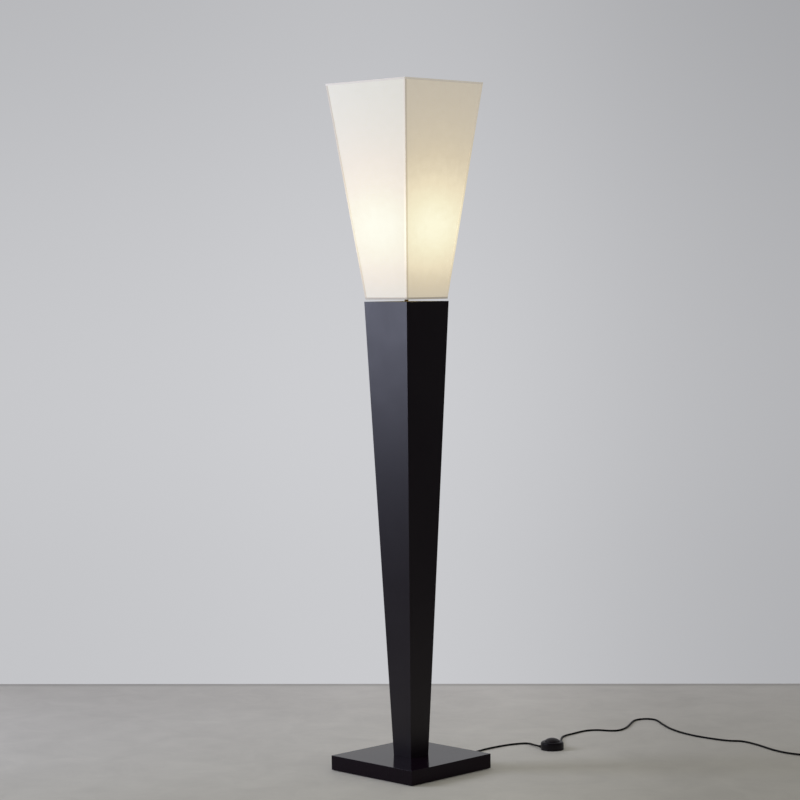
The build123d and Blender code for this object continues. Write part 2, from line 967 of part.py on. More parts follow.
def outlet(side):
    """Frame of one outlet's line on the floor, its X pointing outwards."""
    return Rot(0, 0, 90 + side * switch_outlet_splay) * Pos(0, side * switch_outlet_offset, 0)


def along_outlet(side, distance):
    """Frame at a distance out along an outlet's flex, its Z pointing outwards."""
    return outlet(side) * Pos(distance, 0, switch_outlet_height) * Rot(0, 90, 0)


def in_place(solid):
    """The solid moved from the switch's own frame to where the switch lies."""
    return Pos(*switch_place, 0) * Rot(0, 0, switch_turn) * solid


def outlet_point(side, distance):
    """A point of an outlet's flex, in the lamp's frame."""
    turn = radians(switch_turn + 90 + side * switch_outlet_splay)
    along = Vector(cos(turn), sin(turn)) * distance
    across = Vector(-sin(turn), cos(turn)) * side * switch_outlet_offset
    return Vector(*switch_place, switch_outlet_height) + along + across


def outlet_holes():
    """Way through the wall for each bush."""
    reach = switch_bush_inside + switch_bush_collar + switch_wall
    hole = Cylinder(switch_bush_radius + thread_gap, reach, align=STANDING)
    return group(along_outlet(side, wall_distance - switch_bush_inside) * hole for side in OUTLETS)


def switch_screw_places():
    return [(0, switch_screw_place), (0, -switch_screw_place)]


def switch_lower():
    """Dish of the switch, with posts for its screws."""
    inner = switch_radius - switch_wall
    dish = rod(switch_radius, 0, switch_split_height) - rod(inner, switch_wall, switch_split_height)
    for x, y in switch_screw_places():
        dish += rod(switch_boss_radius, 0, switch_split_height, x, y)
        dish -= rod(switch_screw_radius + thread_gap, 0, switch_split_height, x, y)
        dish -= rod(switch_screw_head_radius + thread_gap, 0, switch_screw_head_height, x, y)
    return in_place(dish - outlet_holes())


def switch_upper():
    """Rounded lid of the switch, with a round opening for the button."""
    opening = button_radius + sliding_gap
    lid_bottom = switch_shoulder_height - switch_wall
    inner = switch_radius - switch_wall
    edges = [
        Line((inner, switch_split_height), (switch_radius, switch_split_height)),
        Line((switch_radius, switch_split_height), (switch_radius, switch_side_height)),
        rounded_corner(
            (switch_shoulder_radius, switch_shoulder_height), (switch_radius, switch_side_height)
        ),
        Line((switch_shoulder_radius, switch_shoulder_height), (opening, switch_shoulder_height)),
        Line((opening, switch_shoulder_height), (opening, lid_bottom)),
        Line((opening, lid_bottom), (switch_shoulder_radius, lid_bottom)),
        Line((switch_shoulder_radius, lid_bottom), (inner, switch_side_height - switch_wall)),
        Line((inner, switch_side_height - switch_wall), (inner, switch_split_height)),
    ]
    lid = revolve(Plane.XZ * make_face(edges), axis=Axis.Z)
    for x, y in switch_screw_places():
        lid += rod(switch_boss_radius, switch_split_height, lid_bottom, x, y)
        lid -= rod(switch_screw_radius + thread_gap, switch_split_height, switch_screw_top_height, x, y)
    return in_place(lid - outlet_holes())


def switch_button():
    """Domed button with a flange that keeps it under the lid."""
    flange_top = switch_shoulder_height - switch_wall - stop_gap
    flange_bottom = flange_top - button_flange_height
    flange_radius = button_radius + button_flange_reach
    inner = button_radius - button_wall
    edge_height = switch_shoulder_height + button_wall
    edges = [
        Line((inner, flange_bottom), (flange_radius, flange_bottom)),
        Line((flange_radius, flange_bottom), (flange_radius, flange_top)),
        Line((flange_radius, flange_top), (button_radius, flange_top)),
        Line((button_radius, flange_top), (button_radius, edge_height)),
        rounded_corner((0, button_top_height), (button_radius, edge_height)),
        Line((0, button_top_height), (0, button_ceiling)),
        Line((0, button_ceiling), (inner / 2, button_ceiling)),
        Line((inner / 2, button_ceiling), (inner, switch_shoulder_height)),
        Line((inner, switch_shoulder_height), (inner, flange_bottom)),
    ]
    return in_place(revolve(Plane.XZ * make_face(edges), axis=Axis.Z))


def switch_mechanism():
    """Latching block in the middle of the dish, with the plunger that the button pushes."""
    block_top = mechanism_top_height
    plunger_radius = spring_radius - 4 * spring_wire_radius
    plunger_top = button_ceiling - button_travel - sliding_gap
    return in_place(
        rod(mechanism_radius, switch_wall, block_top) + rod(plunger_radius, block_top, plunger_top)
    )


def switch_spring():
    """Coil spring between the mechanism and the button."""
    bottom = mechanism_top_height + spring_wire_radius + flex_gap
    top = button_ceiling - spring_wire_radius - flex_gap
    pitch = (top - bottom) / spring_turns
    path = Pos(0, 0, bottom) * Helix(pitch, top - bottom, spring_radius)
    wire = sweep(Plane(origin=path @ 0, z_dir=path % 0) * Circle(spring_wire_radius), path=path)
    return in_place(wire)


def switch_terminals():
    """Brass blocks at the end of each flex, one for each core."""
    size = terminal_block_side
    place = flex_end_distance - terminal_block_setback
    blocks = []
    for side in OUTLETS:
        for y in (-terminal_block_spacing / 2, terminal_block_spacing / 2):
            brass = block(size, size, switch_wall, switch_wall + size, x=place, y=y)
            blocks.append(in_place(outlet(side) * brass))
    return group(blocks)


def switch_grips():
    """Saddle over each flex where it is clamped inside the switch."""
    middle = flex_end_distance + grip_place
    top = switch_outlet_height + flex_bore_radius + grip_thickness
    bridge = block(grip_width, 2 * grip_reach, switch_wall, top, x=middle)
    bridge -= block(grip_width, 2 * flex_bore_radius, switch_wall, switch_outlet_height, x=middle)
    channel = Pos(middle, 0, switch_outlet_height) * Rot(0, 90, 0) * Cylinder(flex_bore_radius, grip_width)
    return group(in_place(outlet(side) * (bridge - channel)) for side in OUTLETS)


def switch_screws():
    """Screws from below that hold the two halves together."""
    return in_place(
        group(
            rod(switch_screw_radius, 0, switch_screw_top_height, x, y)
            + rod(switch_screw_head_radius, 0, switch_screw_head_height, x, y)
            for x, y in switch_screw_places()
        )
    )


def switch_bushes():
    """Rubber bush at each outlet."""
    profile = [
        (flex_bore_radius, -switch_bush_inside),
        (switch_bush_radius, -switch_bush_inside),
        (switch_bush_radius, switch_bush_collar),
        (switch_bush_end_radius, switch_bush_outside),
        (flex_bore_radius, switch_bush_outside),
    ]
    return group(in_place(along_outlet(side, wall_distance) * turned(profile)) for side in OUTLETS)


# ---------------------------------------------------------------- flex outside the lamp

def heading_vector(heading):
    return Vector(cos(radians(heading)), sin(radians(heading)))


def beside_coil(heading, distance):
    """Point a distance along the line that touches the coil's outer turn with this heading."""
    along = heading_vector(heading)
    touch = Vector(*coil_centre) + Vector(along.Y, -along.X) * coil_outer_turn_radius
    return touch + along * distance


coil_bottom = tie_thickness
coil_top = coil_bottom + 2 * flex_radius * coil_layers
coil_outer_radius = coil_outer_turn_radius + flex_radius
coil_inner_radius = coil_outer_turn_radius - coil_pitch * coil_turns_per_layer - flex_radius


def flex_in_switch(side):
    """The end of a flex inside the switch, from its bush inwards."""
    length = bush_face_distance - flex_end_distance
    end = Cylinder(flex_radius, length, align=STANDING)
    return in_place(along_outlet(side, flex_end_distance) * end)


def flex_to_switch():
    """Free flex from the back of the base, through its strain relief, into the foot switch."""
    route = [(0, base_side / 2, lead_height), (0, bush_end + flex_run_from_base, lead_height)]
    route.extend(flex_to_switch_points)
    route.append(outlet_point(LAMP_SIDE, bush_face_distance + flex_run_to_switch))
    route.append(outlet_point(LAMP_SIDE, bush_face_distance))
    return flex_tube("flex_to_switch", route, flex_radius) + flex_in_switch(LAMP_SIDE)


def flex_to_coil():
    """Free flex from the foot switch along the floor to the coil."""
    height = coil_bottom + flex_radius
    route = [outlet_point(COIL_SIDE, bush_face_distance)]
    route.append(outlet_point(COIL_SIDE, bush_face_distance + flex_run_from_switch))
    route.extend(flex_to_coil_points)
    for distance in (coil_lead_length + flex_run_to_coil, coil_lead_length):
        place = beside_coil(coil_entry_heading, -distance)
        route.append((place.X, place.Y, height))
    return flex_tube("flex_to_coil", route, flex_radius) + flex_in_switch(COIL_SIDE)


def coil_lead(heading, height, start):
    """Straight stretch of flex that runs into or out of the coil's outer turn."""
    begin = beside_coil(heading, start)
    lead = Cylinder(flex_radius, coil_lead_length, align=STANDING)
    return Pos(begin.X, begin.Y, height) * Rot(0, 0, heading) * Rot(0, 90, 0) * lead


def flex_coil():
    """Outer shape of the neat coil of flex, with the stretches that run into and out of it."""
    ring = rod(coil_outer_radius, coil_bottom, coil_top) - rod(coil_inner_radius, coil_bottom, coil_top)
    ring = Pos(*coil_centre, 0) * fillet(ring.edges().filter_by(GeomType.CIRCLE), coil_edge_radius)
    ring += coil_lead(coil_entry_heading, coil_bottom + flex_radius, -coil_lead_length)
    return ring + coil_lead(tail_heading, plug_thickness / 2, 0)


def coil_tie():
    """Band wrapped round the coil's bundle of turns."""
    inner = coil_inner_radius - tie_thickness
    outer = coil_outer_radius + tie_thickness
    middle = (inner + outer) / 2
    band = block(outer - inner, tie_width, 0, coil_top + tie_thickness, x=middle)
    hollow = rod(coil_outer_radius + paper_gap, coil_bottom, coil_top + paper_gap)
    hollow -= rod(coil_inner_radius - paper_gap, coil_bottom, coil_top + paper_gap)
    return Pos(*coil_centre, 0) * Rot(0, 0, tie_turn) * (band - hollow)


def flex_tail():
    """Short straight end of the flex, from the coil into the plug."""
    start = beside_coil(tail_heading, coil_lead_length)
    length = tail_length - coil_lead_length + plug_flex_inset
    tail = Cylinder(flex_radius, length, align=STANDING)
    return Pos(start.X, start.Y, plug_thickness / 2) * Rot(0, 0, tail_heading) * Rot(0, 90, 0) * tail


# ---------------------------------------------------------------- plug


def at_plug(solid):
    """The solid moved from the plug's own frame, X towards the pins, to where the plug lies."""
    start = beside_coil(tail_heading, tail_length)
    return Pos(start.X, start.Y, plug_thickness / 2) * Rot(0, 0, tail_heading) * solid


plug_length = plug_sleeve_length + plug_waist_length + plug_front_length
flat_pin_start = plug_length - pin_inset


def pin_places():
    return [pin_spacing / 2, -pin_spacing / 2]


def plug_body():
    """Flat plug body with a tapered sleeve for the flex."""
    front = plug_width / 2
    waist = plug_waist_width / 2
    shoulder = plug_sleeve_length + plug_waist_length
    outline = Polyline(
        (plug_sleeve_length, -waist),
        (shoulder, -front),
        (plug_length, -front),
        (plug_length, front),
        (shoulder, front),
        (plug_sleeve_length, waist),
        close=True,
    )
    body = Pos(0, 0, -plug_thickness / 2) * extrude(make_face(outline), amount=plug_thickness)
    body = fillet(body.edges().filter_by(Axis.Z), plug_edge_radius)
    body = chamfer(body.faces().sort_by(Axis.Z)[-1].edges(), plug_edge_radius / 2)
    body = chamfer(body.faces().sort_by(Axis.Z)[0].edges(), plug_edge_radius / 2)
    sleeve_profile = [
        (0, 0),
        (plug_sleeve_end_radius, 0),
        (plug_sleeve_root_radius, plug_sleeve_length),
        (plug_sleeve_root_radius, plug_sleeve_length + plug_edge_radius),
        (0, plug_sleeve_length + plug_edge_radius),
    ]
    body += Rot(0, 90, 0) * turned(sleeve_profile)
    body -= Rot(0, 90, 0) * Cylinder(flex_bore_radius, plug_flex_inset + flex_gap, align=STANDING)
    for y in pin_places():
        pocket = Cylinder(pin_radius + thread_gap, pin_inset, align=STANDING)
        body -= Pos(flat_pin_start, y, 0) * Rot(0, 90, 0) * pocket
    return at_plug(body)


def plug_pins():
    """The two round pins, set in the body."""
    pin = Cylinder(pin_radius, pin_length + pin_inset, align=STANDING)
    pin = chamfer(pin.faces().sort_by(Axis.Z)[-1].edges(), pin_tip_chamfer)
    return group(at_plug(Pos(flat_pin_start, y, 0) * Rot(0, 90, 0) * pin) for y in pin_places())


# ---------------------------------------------------------------- all nodes

nodes = {
    "base_plate": base_plate(),
    "ballast_plate": ballast_plate(),
    "ballast_screws": ballast_screws(),
    "base_cover": base_cover(),
    "floor_pads": floor_pads(),
    "wood_screws": wood_screws(),
    "foot_screws": foot_screws(),
    "flex_bush": flex_bush(),
    "lead_saddle": saddle(),
    "foot_block": foot_block(),
    "guide_board": guide_board(),
    "top_board": top_board(),
    "stem_pipe": stem_pipe(),
    "stem_washers": stem_washers(),
    "stem_nuts": stem_nuts(),
    "lower_hem": lower_hem(),
    "upper_hem": upper_hem(),
    "corner_tapes": corner_tapes(),
    "lower_ring": wire_ring(lower_ring_height),
    "upper_ring": wire_ring(upper_ring_height),
    "corner_struts": corner_struts(),
    "carrier_hub": carrier_hub(),
    "carrier_arms": carrier_arms(),
    "holder_cap": holder_cap(),
    "locking_screw": locking_screw(),
    "holder_shell": holder_shell(),
    "holder_insert": holder_insert(),
    "screw_shell": screw_shell(),
    "centre_contact": centre_contact(),
    "terminal_screws": terminal_screws(),
    "bulb_glass": bulb_glass(),
    "bulb_cap": bulb_cap(),
    "bulb_collar": bulb_collar(),
    "bulb_tip": bulb_tip_contact(),
    "inner_lead": inner_lead(),
    "core_wires": core_wires(),
    "switch_lower": switch_lower(),
    "switch_upper": switch_upper(),
    "switch_button": switch_button(),
    "switch_mechanism": switch_mechanism(),
    "switch_spring": switch_spring(),
    "switch_terminals": switch_terminals(),
    "switch_grips": switch_grips(),
    "switch_screws": switch_screws(),
    "switch_bushes": switch_bushes(),
    "flex_to_switch": flex_to_switch(),
    "flex_to_coil": flex_to_coil(),
    "flex_coil": flex_coil(),
    "coil_tie": coil_tie(),
    "flex_tail": flex_tail(),
    "plug_body": plug_body(),
    "plug_pins": plug_pins(),
}
for side_name, side_angle in SIDES.items():
    nodes[f"column_{side_name}"] = column_board(side_angle)
    nodes[f"shade_panel_{side_name}"] = shade_panel(side_angle)

os.makedirs("parts", exist_ok=True)
for node_name, solid in nodes.items():
    export_step(solid, f"parts/{node_name}.step")
print(f"{len(nodes)} nodes, {shade_top:.0f} mm tall")
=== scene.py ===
"""Dresses the lantern floor lamp: base, column, shade, lampholder, bulb, foot switch and flex."""

import logging
import math
from collections.abc import Callable, Iterable, Sequence
from dataclasses import dataclass
from enum import Enum
from functools import reduce

import bmesh
import bpy
from mathutils import Matrix, Vector, noise


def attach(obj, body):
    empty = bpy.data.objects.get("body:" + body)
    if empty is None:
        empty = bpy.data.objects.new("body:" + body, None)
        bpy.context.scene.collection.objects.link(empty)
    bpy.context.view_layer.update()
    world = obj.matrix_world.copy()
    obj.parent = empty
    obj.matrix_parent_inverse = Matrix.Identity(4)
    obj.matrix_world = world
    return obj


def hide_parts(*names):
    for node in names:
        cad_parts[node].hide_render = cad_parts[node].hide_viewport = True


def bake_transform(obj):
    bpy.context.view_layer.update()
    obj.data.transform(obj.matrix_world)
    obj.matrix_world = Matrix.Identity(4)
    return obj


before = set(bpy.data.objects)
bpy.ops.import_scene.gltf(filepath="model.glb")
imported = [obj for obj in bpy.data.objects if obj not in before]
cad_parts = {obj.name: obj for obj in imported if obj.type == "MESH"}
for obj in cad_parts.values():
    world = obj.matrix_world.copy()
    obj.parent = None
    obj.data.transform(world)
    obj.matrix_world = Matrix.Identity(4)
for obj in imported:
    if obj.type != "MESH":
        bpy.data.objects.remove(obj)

Object = bpy.types.Object
Socket = bpy.types.NodeSocket
Colour = tuple[float, float, float]
Point = tuple[float, float, float]
Outline = Sequence[tuple[float, float]]
Stops = Sequence[tuple[float, Colour]]
Levels = tuple[tuple[float, float], ...]

NOISE_SPAN = (0.25, 0.75)
SAME_POINT = 1e-7
SAME_CAD_POINT = 2e-6
FLAT_ANGLE = 0.4
SHARP_ANGLE = 35.0
log = logging.getLogger("floor_lamp")


# ---------------------------------------------------------------- named choices


class Body(Enum):
    """Moving groups of the lamp."""

    LAMP = "lamp"
    SHADE = "shade"
    BULB = "bulb"
    BUTTON = "button"


class Side(Enum):
    """Sides of the lamp, each with its turn about the upright axis from the front."""

    FRONT = ("front", 0.0)
    RIGHT = ("right", 90.0)
    BACK = ("back", 180.0)
    LEFT = ("left", 270.0)

    @property
    def label(self) -> str:
        """Name of the side as the frame's nodes use it."""
        return self.value[0]

    @property
    def turn(self) -> Matrix:
        """Rotation from the front to this side."""
        return Matrix.Rotation(math.radians(self.value[1]), 4, "Z")


class Edge(Enum):
    """Ends of the shade's panels; the value is the direction from the edge into the panel."""

    LOWER = 1
    UPPER = -1


# ---------------------------------------------------------------- node trees


class Nodes:
    """Node tree that is built up one node at a time."""

    def __init__(self, tree: bpy.types.NodeTree) -> None:
        """Empty the tree.

        Args:
            tree: Tree of a material, a world or a modifier.
        """
        self.tree = tree
        tree.nodes.clear()

    def put(self, socket: Socket, value: object) -> None:
        """Feed a socket from another one, or give it a number, a vector or a colour."""
        if isinstance(value, Socket):
            self.tree.links.new(value, socket)
        elif socket.type == "RGBA":
            socket.default_value = (*value, 1.0)
        else:
            socket.default_value = value

    def add(self, kind: str, values: dict | None = None, **settings: object) -> bpy.types.Node:
        """Add a node.

        Args:
            kind: Blender's name of the node type.
            values: Input values or source sockets, by input name or number.
            settings: Attributes of the node itself.

        Returns:
            The new node.
        """
        node = self.tree.nodes.new(kind)
        for key, value in settings.items():
            setattr(node, key, value)
        for key, value in (values or {}).items():
            self.put(node.inputs[key], value)
        return node

    def math(self, operation: str, *values: object) -> Socket:
        """Result of one arithmetic step on numbers or sockets."""
        return self.add("ShaderNodeMath", dict(enumerate(values)), operation=operation).outputs[0]

    def plus(self, *terms: object) -> Socket:
        """Sum of numbers and sockets."""
        return reduce(lambda first, second: self.math("ADD", first, second), terms)

    def times(self, *factors: object) -> Socket:
        """Product of numbers and sockets."""
        return reduce(lambda first, second: self.math("MULTIPLY", first, second), factors)

    def dot(self, vector: Socket, side: Point) -> Socket:
        """How far a vector reaches towards a side."""
        node = self.add("ShaderNodeVectorMath", {0: vector, 1: side}, operation="DOT_PRODUCT")
        return node.outputs["Value"]

    def ranged(
        self,
        value: Socket,
        source: tuple[float, float],
        target: tuple[float, float] = (0.0, 1.0),
        smooth: bool = False,
    ) -> Socket:
        """A value brought from one range into another, and held in it.

        Args:
            value: The value.
            source: Range that it comes from.
            target: Range that it goes into, from its low to its high end.
            smooth: Whether it starts and ends softly.

        Returns:
            The new value.
        """
        names = ("Value", "From Min", "From Max", "To Min", "To Max")
        kind = "SMOOTHSTEP" if smooth else "LINEAR"
        values = dict(zip(names, (value, *source, *target)))
        return self.add("ShaderNodeMapRange", values, interpolation_type=kind).outputs[0]

    def ramp(self, factor: Socket, stops: Stops, interpolation: str = "LINEAR") -> Socket:
        """Colour read from a ramp of stops, each a place and a colour."""
        node = self.add("ShaderNodeValToRGB", {"Fac": factor})
        node.color_ramp.interpolation = interpolation
        elements = node.color_ramp.elements
        while len(elements) < len(stops):
            elements.new(0.5)
        for element, (place, colour) in zip(elements, stops):
            element.position = place
            element.color = (*colour, 1.0)
        return node.outputs["Color"]

    def mix(self, share: object, first: object, second: object, blend: str = "MIX") -> Socket:
        """Two colours blended by the share of the second one, each a colour or a socket."""
        values = {0: share, 6: first, 7: second}
        return self.add("ShaderNodeMix", values, data_type="RGBA", blend_type=blend).outputs[2]


class Graph(Nodes):
    """Node graph of one procedural material that ends in a single Principled shader."""

    def __init__(self, name: str) -> None:
        """Start a graph with its shader, its output and the object's own coordinates.

        Args:
            name: Name of the material.
        """
        self.material = bpy.data.materials.new(name)
        self.material.use_nodes = True
        super().__init__(self.material.node_tree)
        self.shader = self.add("ShaderNodeBsdfPrincipled")
        self.add("ShaderNodeOutputMaterial", {"Surface": self.shader.outputs["BSDF"]})
        self.place = self.add("ShaderNodeTexCoord").outputs["Object"]

    def noise(
        self,
        scale: float,
        detail: float,
        roughness: float,
        stretch: Point | None = None,
        distortion: float = 0.0,
    ) -> Socket:
        """Cloudy pattern.

        Args:
            scale: Features to the metre, roughly.
            detail: Octaves.
            roughness: Share of the finer octaves.
            stretch: Scale of the object's coordinates along each axis.
            distortion: How far the pattern is pulled about.

        Returns:
            The pattern's factor.
        """
        vector = self.place
        if stretch:
            values = {"Vector": vector, "Scale": stretch}
            vector = self.add("ShaderNodeMapping", values).outputs[0]
        names = ("Vector", "Scale", "Detail", "Roughness", "Distortion")
        values = dict(zip(names, (vector, scale, detail, roughness, distortion)))
        return self.add("ShaderNodeTexNoise", values).outputs[0]

    def spread(self, pattern: Socket, low: float, high: float) -> Socket:
        """A pattern's factor brought into a range, and held in it."""
        return self.ranged(pattern, NOISE_SPAN, (low, high))

    def bump(
        self, height: Socket, depth: float, strength: float, before: Socket | None = None
    ) -> Socket:
        """Normal raised by a height pattern.

        Args:
            height: Pattern from 0 to 1.
            depth: Metres that the whole range of the pattern stands for.
            strength: Share of it that shows.
            before: Normal that this one adds to.

        Returns:
            The new normal.
        """
        values = {"Height": height, "Distance": depth, "Strength": strength}
        if before is not None:
            values["Normal"] = before
        return self.add("ShaderNodeBump", values).outputs[0]

    def finish(self, **values: object) -> bpy.types.Material:
        """Set the shader's inputs, their names' spaces written as underscores.

        Args:
            values: Numbers, colours or sockets by input name.

        Returns:
            The material.
        """
        for key, value in values.items():
            self.put(self.shader.inputs[key.replace("_", " ")], value)
        return self.material


# ---------------------------------------------------------------- finishes


def scaled(tone: Colour, factor: float) -> Colour:
    """A colour made darker or lighter by a factor."""
    return tuple(factor * part for part in tone)


@dataclass(frozen=True)
class Finish:
    """Surface that can be put on pieces; each finish makes its material once.

    Attributes:
        name: Name of its material, less the prefix.
        slot: The record's material slot that its pieces take; not used.
    """

    name: str
    slot: str

    def graph(self, graph: Graph) -> bpy.types.Material:
        """Build the finish in an empty graph."""
        raise NotImplementedError

    def material(self) -> bpy.types.Material:
        """The finish's material, made on first use."""
        label = f"finish_{self.name}"
        return bpy.data.materials.get(label) or self.graph(Graph(label))

    def dress(self, *nodes: str) -> None:
        """Put the finish on CAD nodes as they are."""
        for name in nodes:
            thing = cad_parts[name]
            for material_slot in thing.material_slots:
                material_slot.material = self.material()
            if not thing.material_slots:
                thing.data.materials.append(self.material())


@dataclass(frozen=True)
class Coat(Finish):
    """Surface whose colour, roughness and relief come from a few noise patterns.

    Attributes:
        patterns: The patterns, as Graph.noise takes them; the first one blends the tones.
        tones: Colours at the first pattern's low and high end.
        rough: Number of a pattern, and the roughness at its low and high end; rows add up.
        relief: Number of a pattern, its depth in metres and the share of it that shows.
        blend: Shares of the second tone at the first pattern's low and high end.
        marks: Number of a pattern, and the colour it lays over the tones between two shares.
        metallic: How far it is a metal.
        specular: Strength of its gloss.
        sheen: Strength of its soft rim light.
    """

    patterns: tuple[tuple, ...]
    tones: tuple[Colour, Colour]
    rough: tuple[tuple[int, float, float], ...]
    relief: tuple[tuple[int, float, float], ...]
    blend: tuple[float, float] = (0.0, 1.0)
    marks: tuple[int, Colour, float, float] | None = None
    metallic: float = 0.0
    specular: float = 0.5
    sheen: float = 0.0

    def graph(self, graph: Graph) -> bpy.types.Material:
        """Build the surface from its patterns."""
        noises = [graph.noise(*pattern) for pattern in self.patterns]
        colour = graph.mix(graph.spread(noises[0], *self.blend), *self.tones)
        if self.marks:
            number, mark, low, high = self.marks
            colour = graph.mix(graph.spread(noises[number], low, high), colour, mark)
        rough = [graph.spread(noises[number], low, high) for number, low, high in self.rough]
        normal = None
        for number, depth, strength in self.relief:
            normal = graph.bump(noises[number], depth, strength, normal)
        return graph.finish(
            Base_Color=colour,
            Roughness=graph.plus(*rough),
            Normal=normal,
            Metallic=self.metallic,
            Specular_IOR_Level=self.specular,
            Sheen_Weight=self.sheen,
        )


def lacquer(name: str, gloss: tuple[float, float], specular: float) -> Coat:
    """Black lacquer on board: rubbing marks along it, clouds, orange peel and dust nibs."""
    tone = (0.0050, 0.0018, 0.0048)
    rubbing, clouds = (30.0, 5.0, 0.6, (14.0, 14.0, 0.8)), (9.0, 2.0, 0.5)
    peel, nibs = (420.0, 2.0, 0.5), (2600.0, 0.0, 0.5)
    return Coat(
        f"lacquer_{name}",
        "black_lacquer",
        patterns=(rubbing, clouds, peel, nibs),
        tones=(tone, scaled(tone, 1.5)),
        rough=((1, *gloss), (0, 0.0, 0.03)),
        relief=((2, 0.00004, 0.5), (3, 0.00001, 0.3)),
        specular=specular,
    )


def moulded(
    name: str,
    slot: str,
    tone: Colour,
    rough: float = 0.45,
    texture: float = 1600.0,
    depth: float = 0.00003,
    specular: float = 0.5,
) -> Coat:
    """Moulded plastic, rubber or ceramic with a fine texture, flow marks and a touch of dust.

    Args:
        name: Name of the material.
        slot: The record's slot.
        tone: Its colour.
        rough: Its mean roughness.
        texture: Grains to the metre.
        depth: Depth of the grains.
        specular: Strength of its gloss.

    Returns:
        The finish.
    """
    return Coat(
        name,
        slot,
        patterns=((90.0, 3.0, 0.55, None, 0.8), (texture, 2.0, 0.5)),
        tones=(tone, tuple(min(1.0, 1.35 * part + 0.002) for part in tone)),
        rough=((0, rough - 0.05, rough + 0.05), (1, 0.0, 0.04)),
        relief=((1, depth, 0.6),),
        specular=specular,
    )


def metal(name: str, slot: str, tone: Colour, rough: float) -> Coat:
    """Bright drawn or turned metal, with lines round its height and clouds of tarnish."""
    return Coat(
        name,
        slot,
        patterns=((180.0, 5.0, 0.65), (500.0, 3.0, 0.6, (0.3, 0.3, 5.0))),
        tones=(scaled(tone, 0.62), tone),
        rough=((0, rough + 0.08, rough), (1, 0.0, 0.06)),
        relief=((1, 0.00002, 0.4),),
        metallic=1.0,
    )


@dataclass(frozen=True)
class Brass(Finish):
    """Threaded brass of the stem, dark in the thread's roots and tarnished in soft clouds."""

    pitch: float = 0.001

    def graph(self, graph: Graph) -> bpy.types.Material:
        """Build the brass; a band of the wave is 0.314 of its scale."""
        values = {"Vector": graph.place, "Scale": 0.314 / self.pitch, "Distortion": 0.0}
        wave = graph.add("ShaderNodeTexWave", values, bands_direction="Z")
        thread = wave.outputs["Fac"]
        tarnish = graph.noise(120.0, 5.0, 0.65)
        clouds = graph.spread(tarnish, 0.0, 1.0)
        colour = graph.mix(clouds, (0.12, 0.085, 0.035), (0.30, 0.22, 0.10))
        root = graph.times(graph.math("SUBTRACT", 1.0, thread), 0.5)
        return graph.finish(
            Base_Color=graph.mix(root, colour, (0.04, 0.028, 0.012)),
            Roughness=graph.spread(tarnish, 0.42, 0.28),
            Metallic=1.0,
            Normal=graph.bump(thread, 0.0004, 0.9),
        )


@dataclass(frozen=True)
class OpalGlass(Finish):
    """White-coated glass of the lit bulb."""

    def graph(self, graph: Graph) -> bpy.types.Material:
        """Build the glass: an even glow, a little brighter in clouds of its coating."""
        coating = graph.noise(70.0, 3.0, 0.5)
        clouds = graph.spread(coating, 0.0, 1.0)
        return graph.finish(
            Base_Color=graph.mix(clouds, (0.84, 0.81, 0.74), (0.92, 0.90, 0.85)),
            Roughness=graph.spread(coating, 0.16, 0.24),
            Emission_Color=graph.mix(clouds, (1.0, 0.83, 0.56), (1.0, 0.88, 0.65)),
            Emission_Strength=2.2,
        )


# Painted glow of the bulb's light through the paper, as ramps. The panels on the far side from the
# key lamp (right, back) take this stronger ramp; the paper is the same all round.
FAR_SIDE_GLOW: Stops = (
    (0.00, (0.080, 0.060, 0.035)),
    (0.20, (0.205, 0.162, 0.098)),
    (0.42, (0.350, 0.270, 0.138)),
    (0.62, (0.520, 0.427, 0.240)),
    (0.82, (0.600, 0.543, 0.330)),
    (1.00, (0.665, 0.632, 0.425)),
)
# Dimmer painted glow for the panels that the key lamp lights (front, left): painted light, one
# paper lit and shaded in paint.
KEY_SIDE_GLOW: Stops = (
    (0.00, (0.090, 0.092, 0.065)),
    (0.22, (0.205, 0.196, 0.130)),
    (0.45, (0.312, 0.252, 0.146)),
    (0.60, (0.364, 0.298, 0.172)),
    (0.80, (0.408, 0.370, 0.210)),
    (1.00, (0.445, 0.435, 0.275)),
)


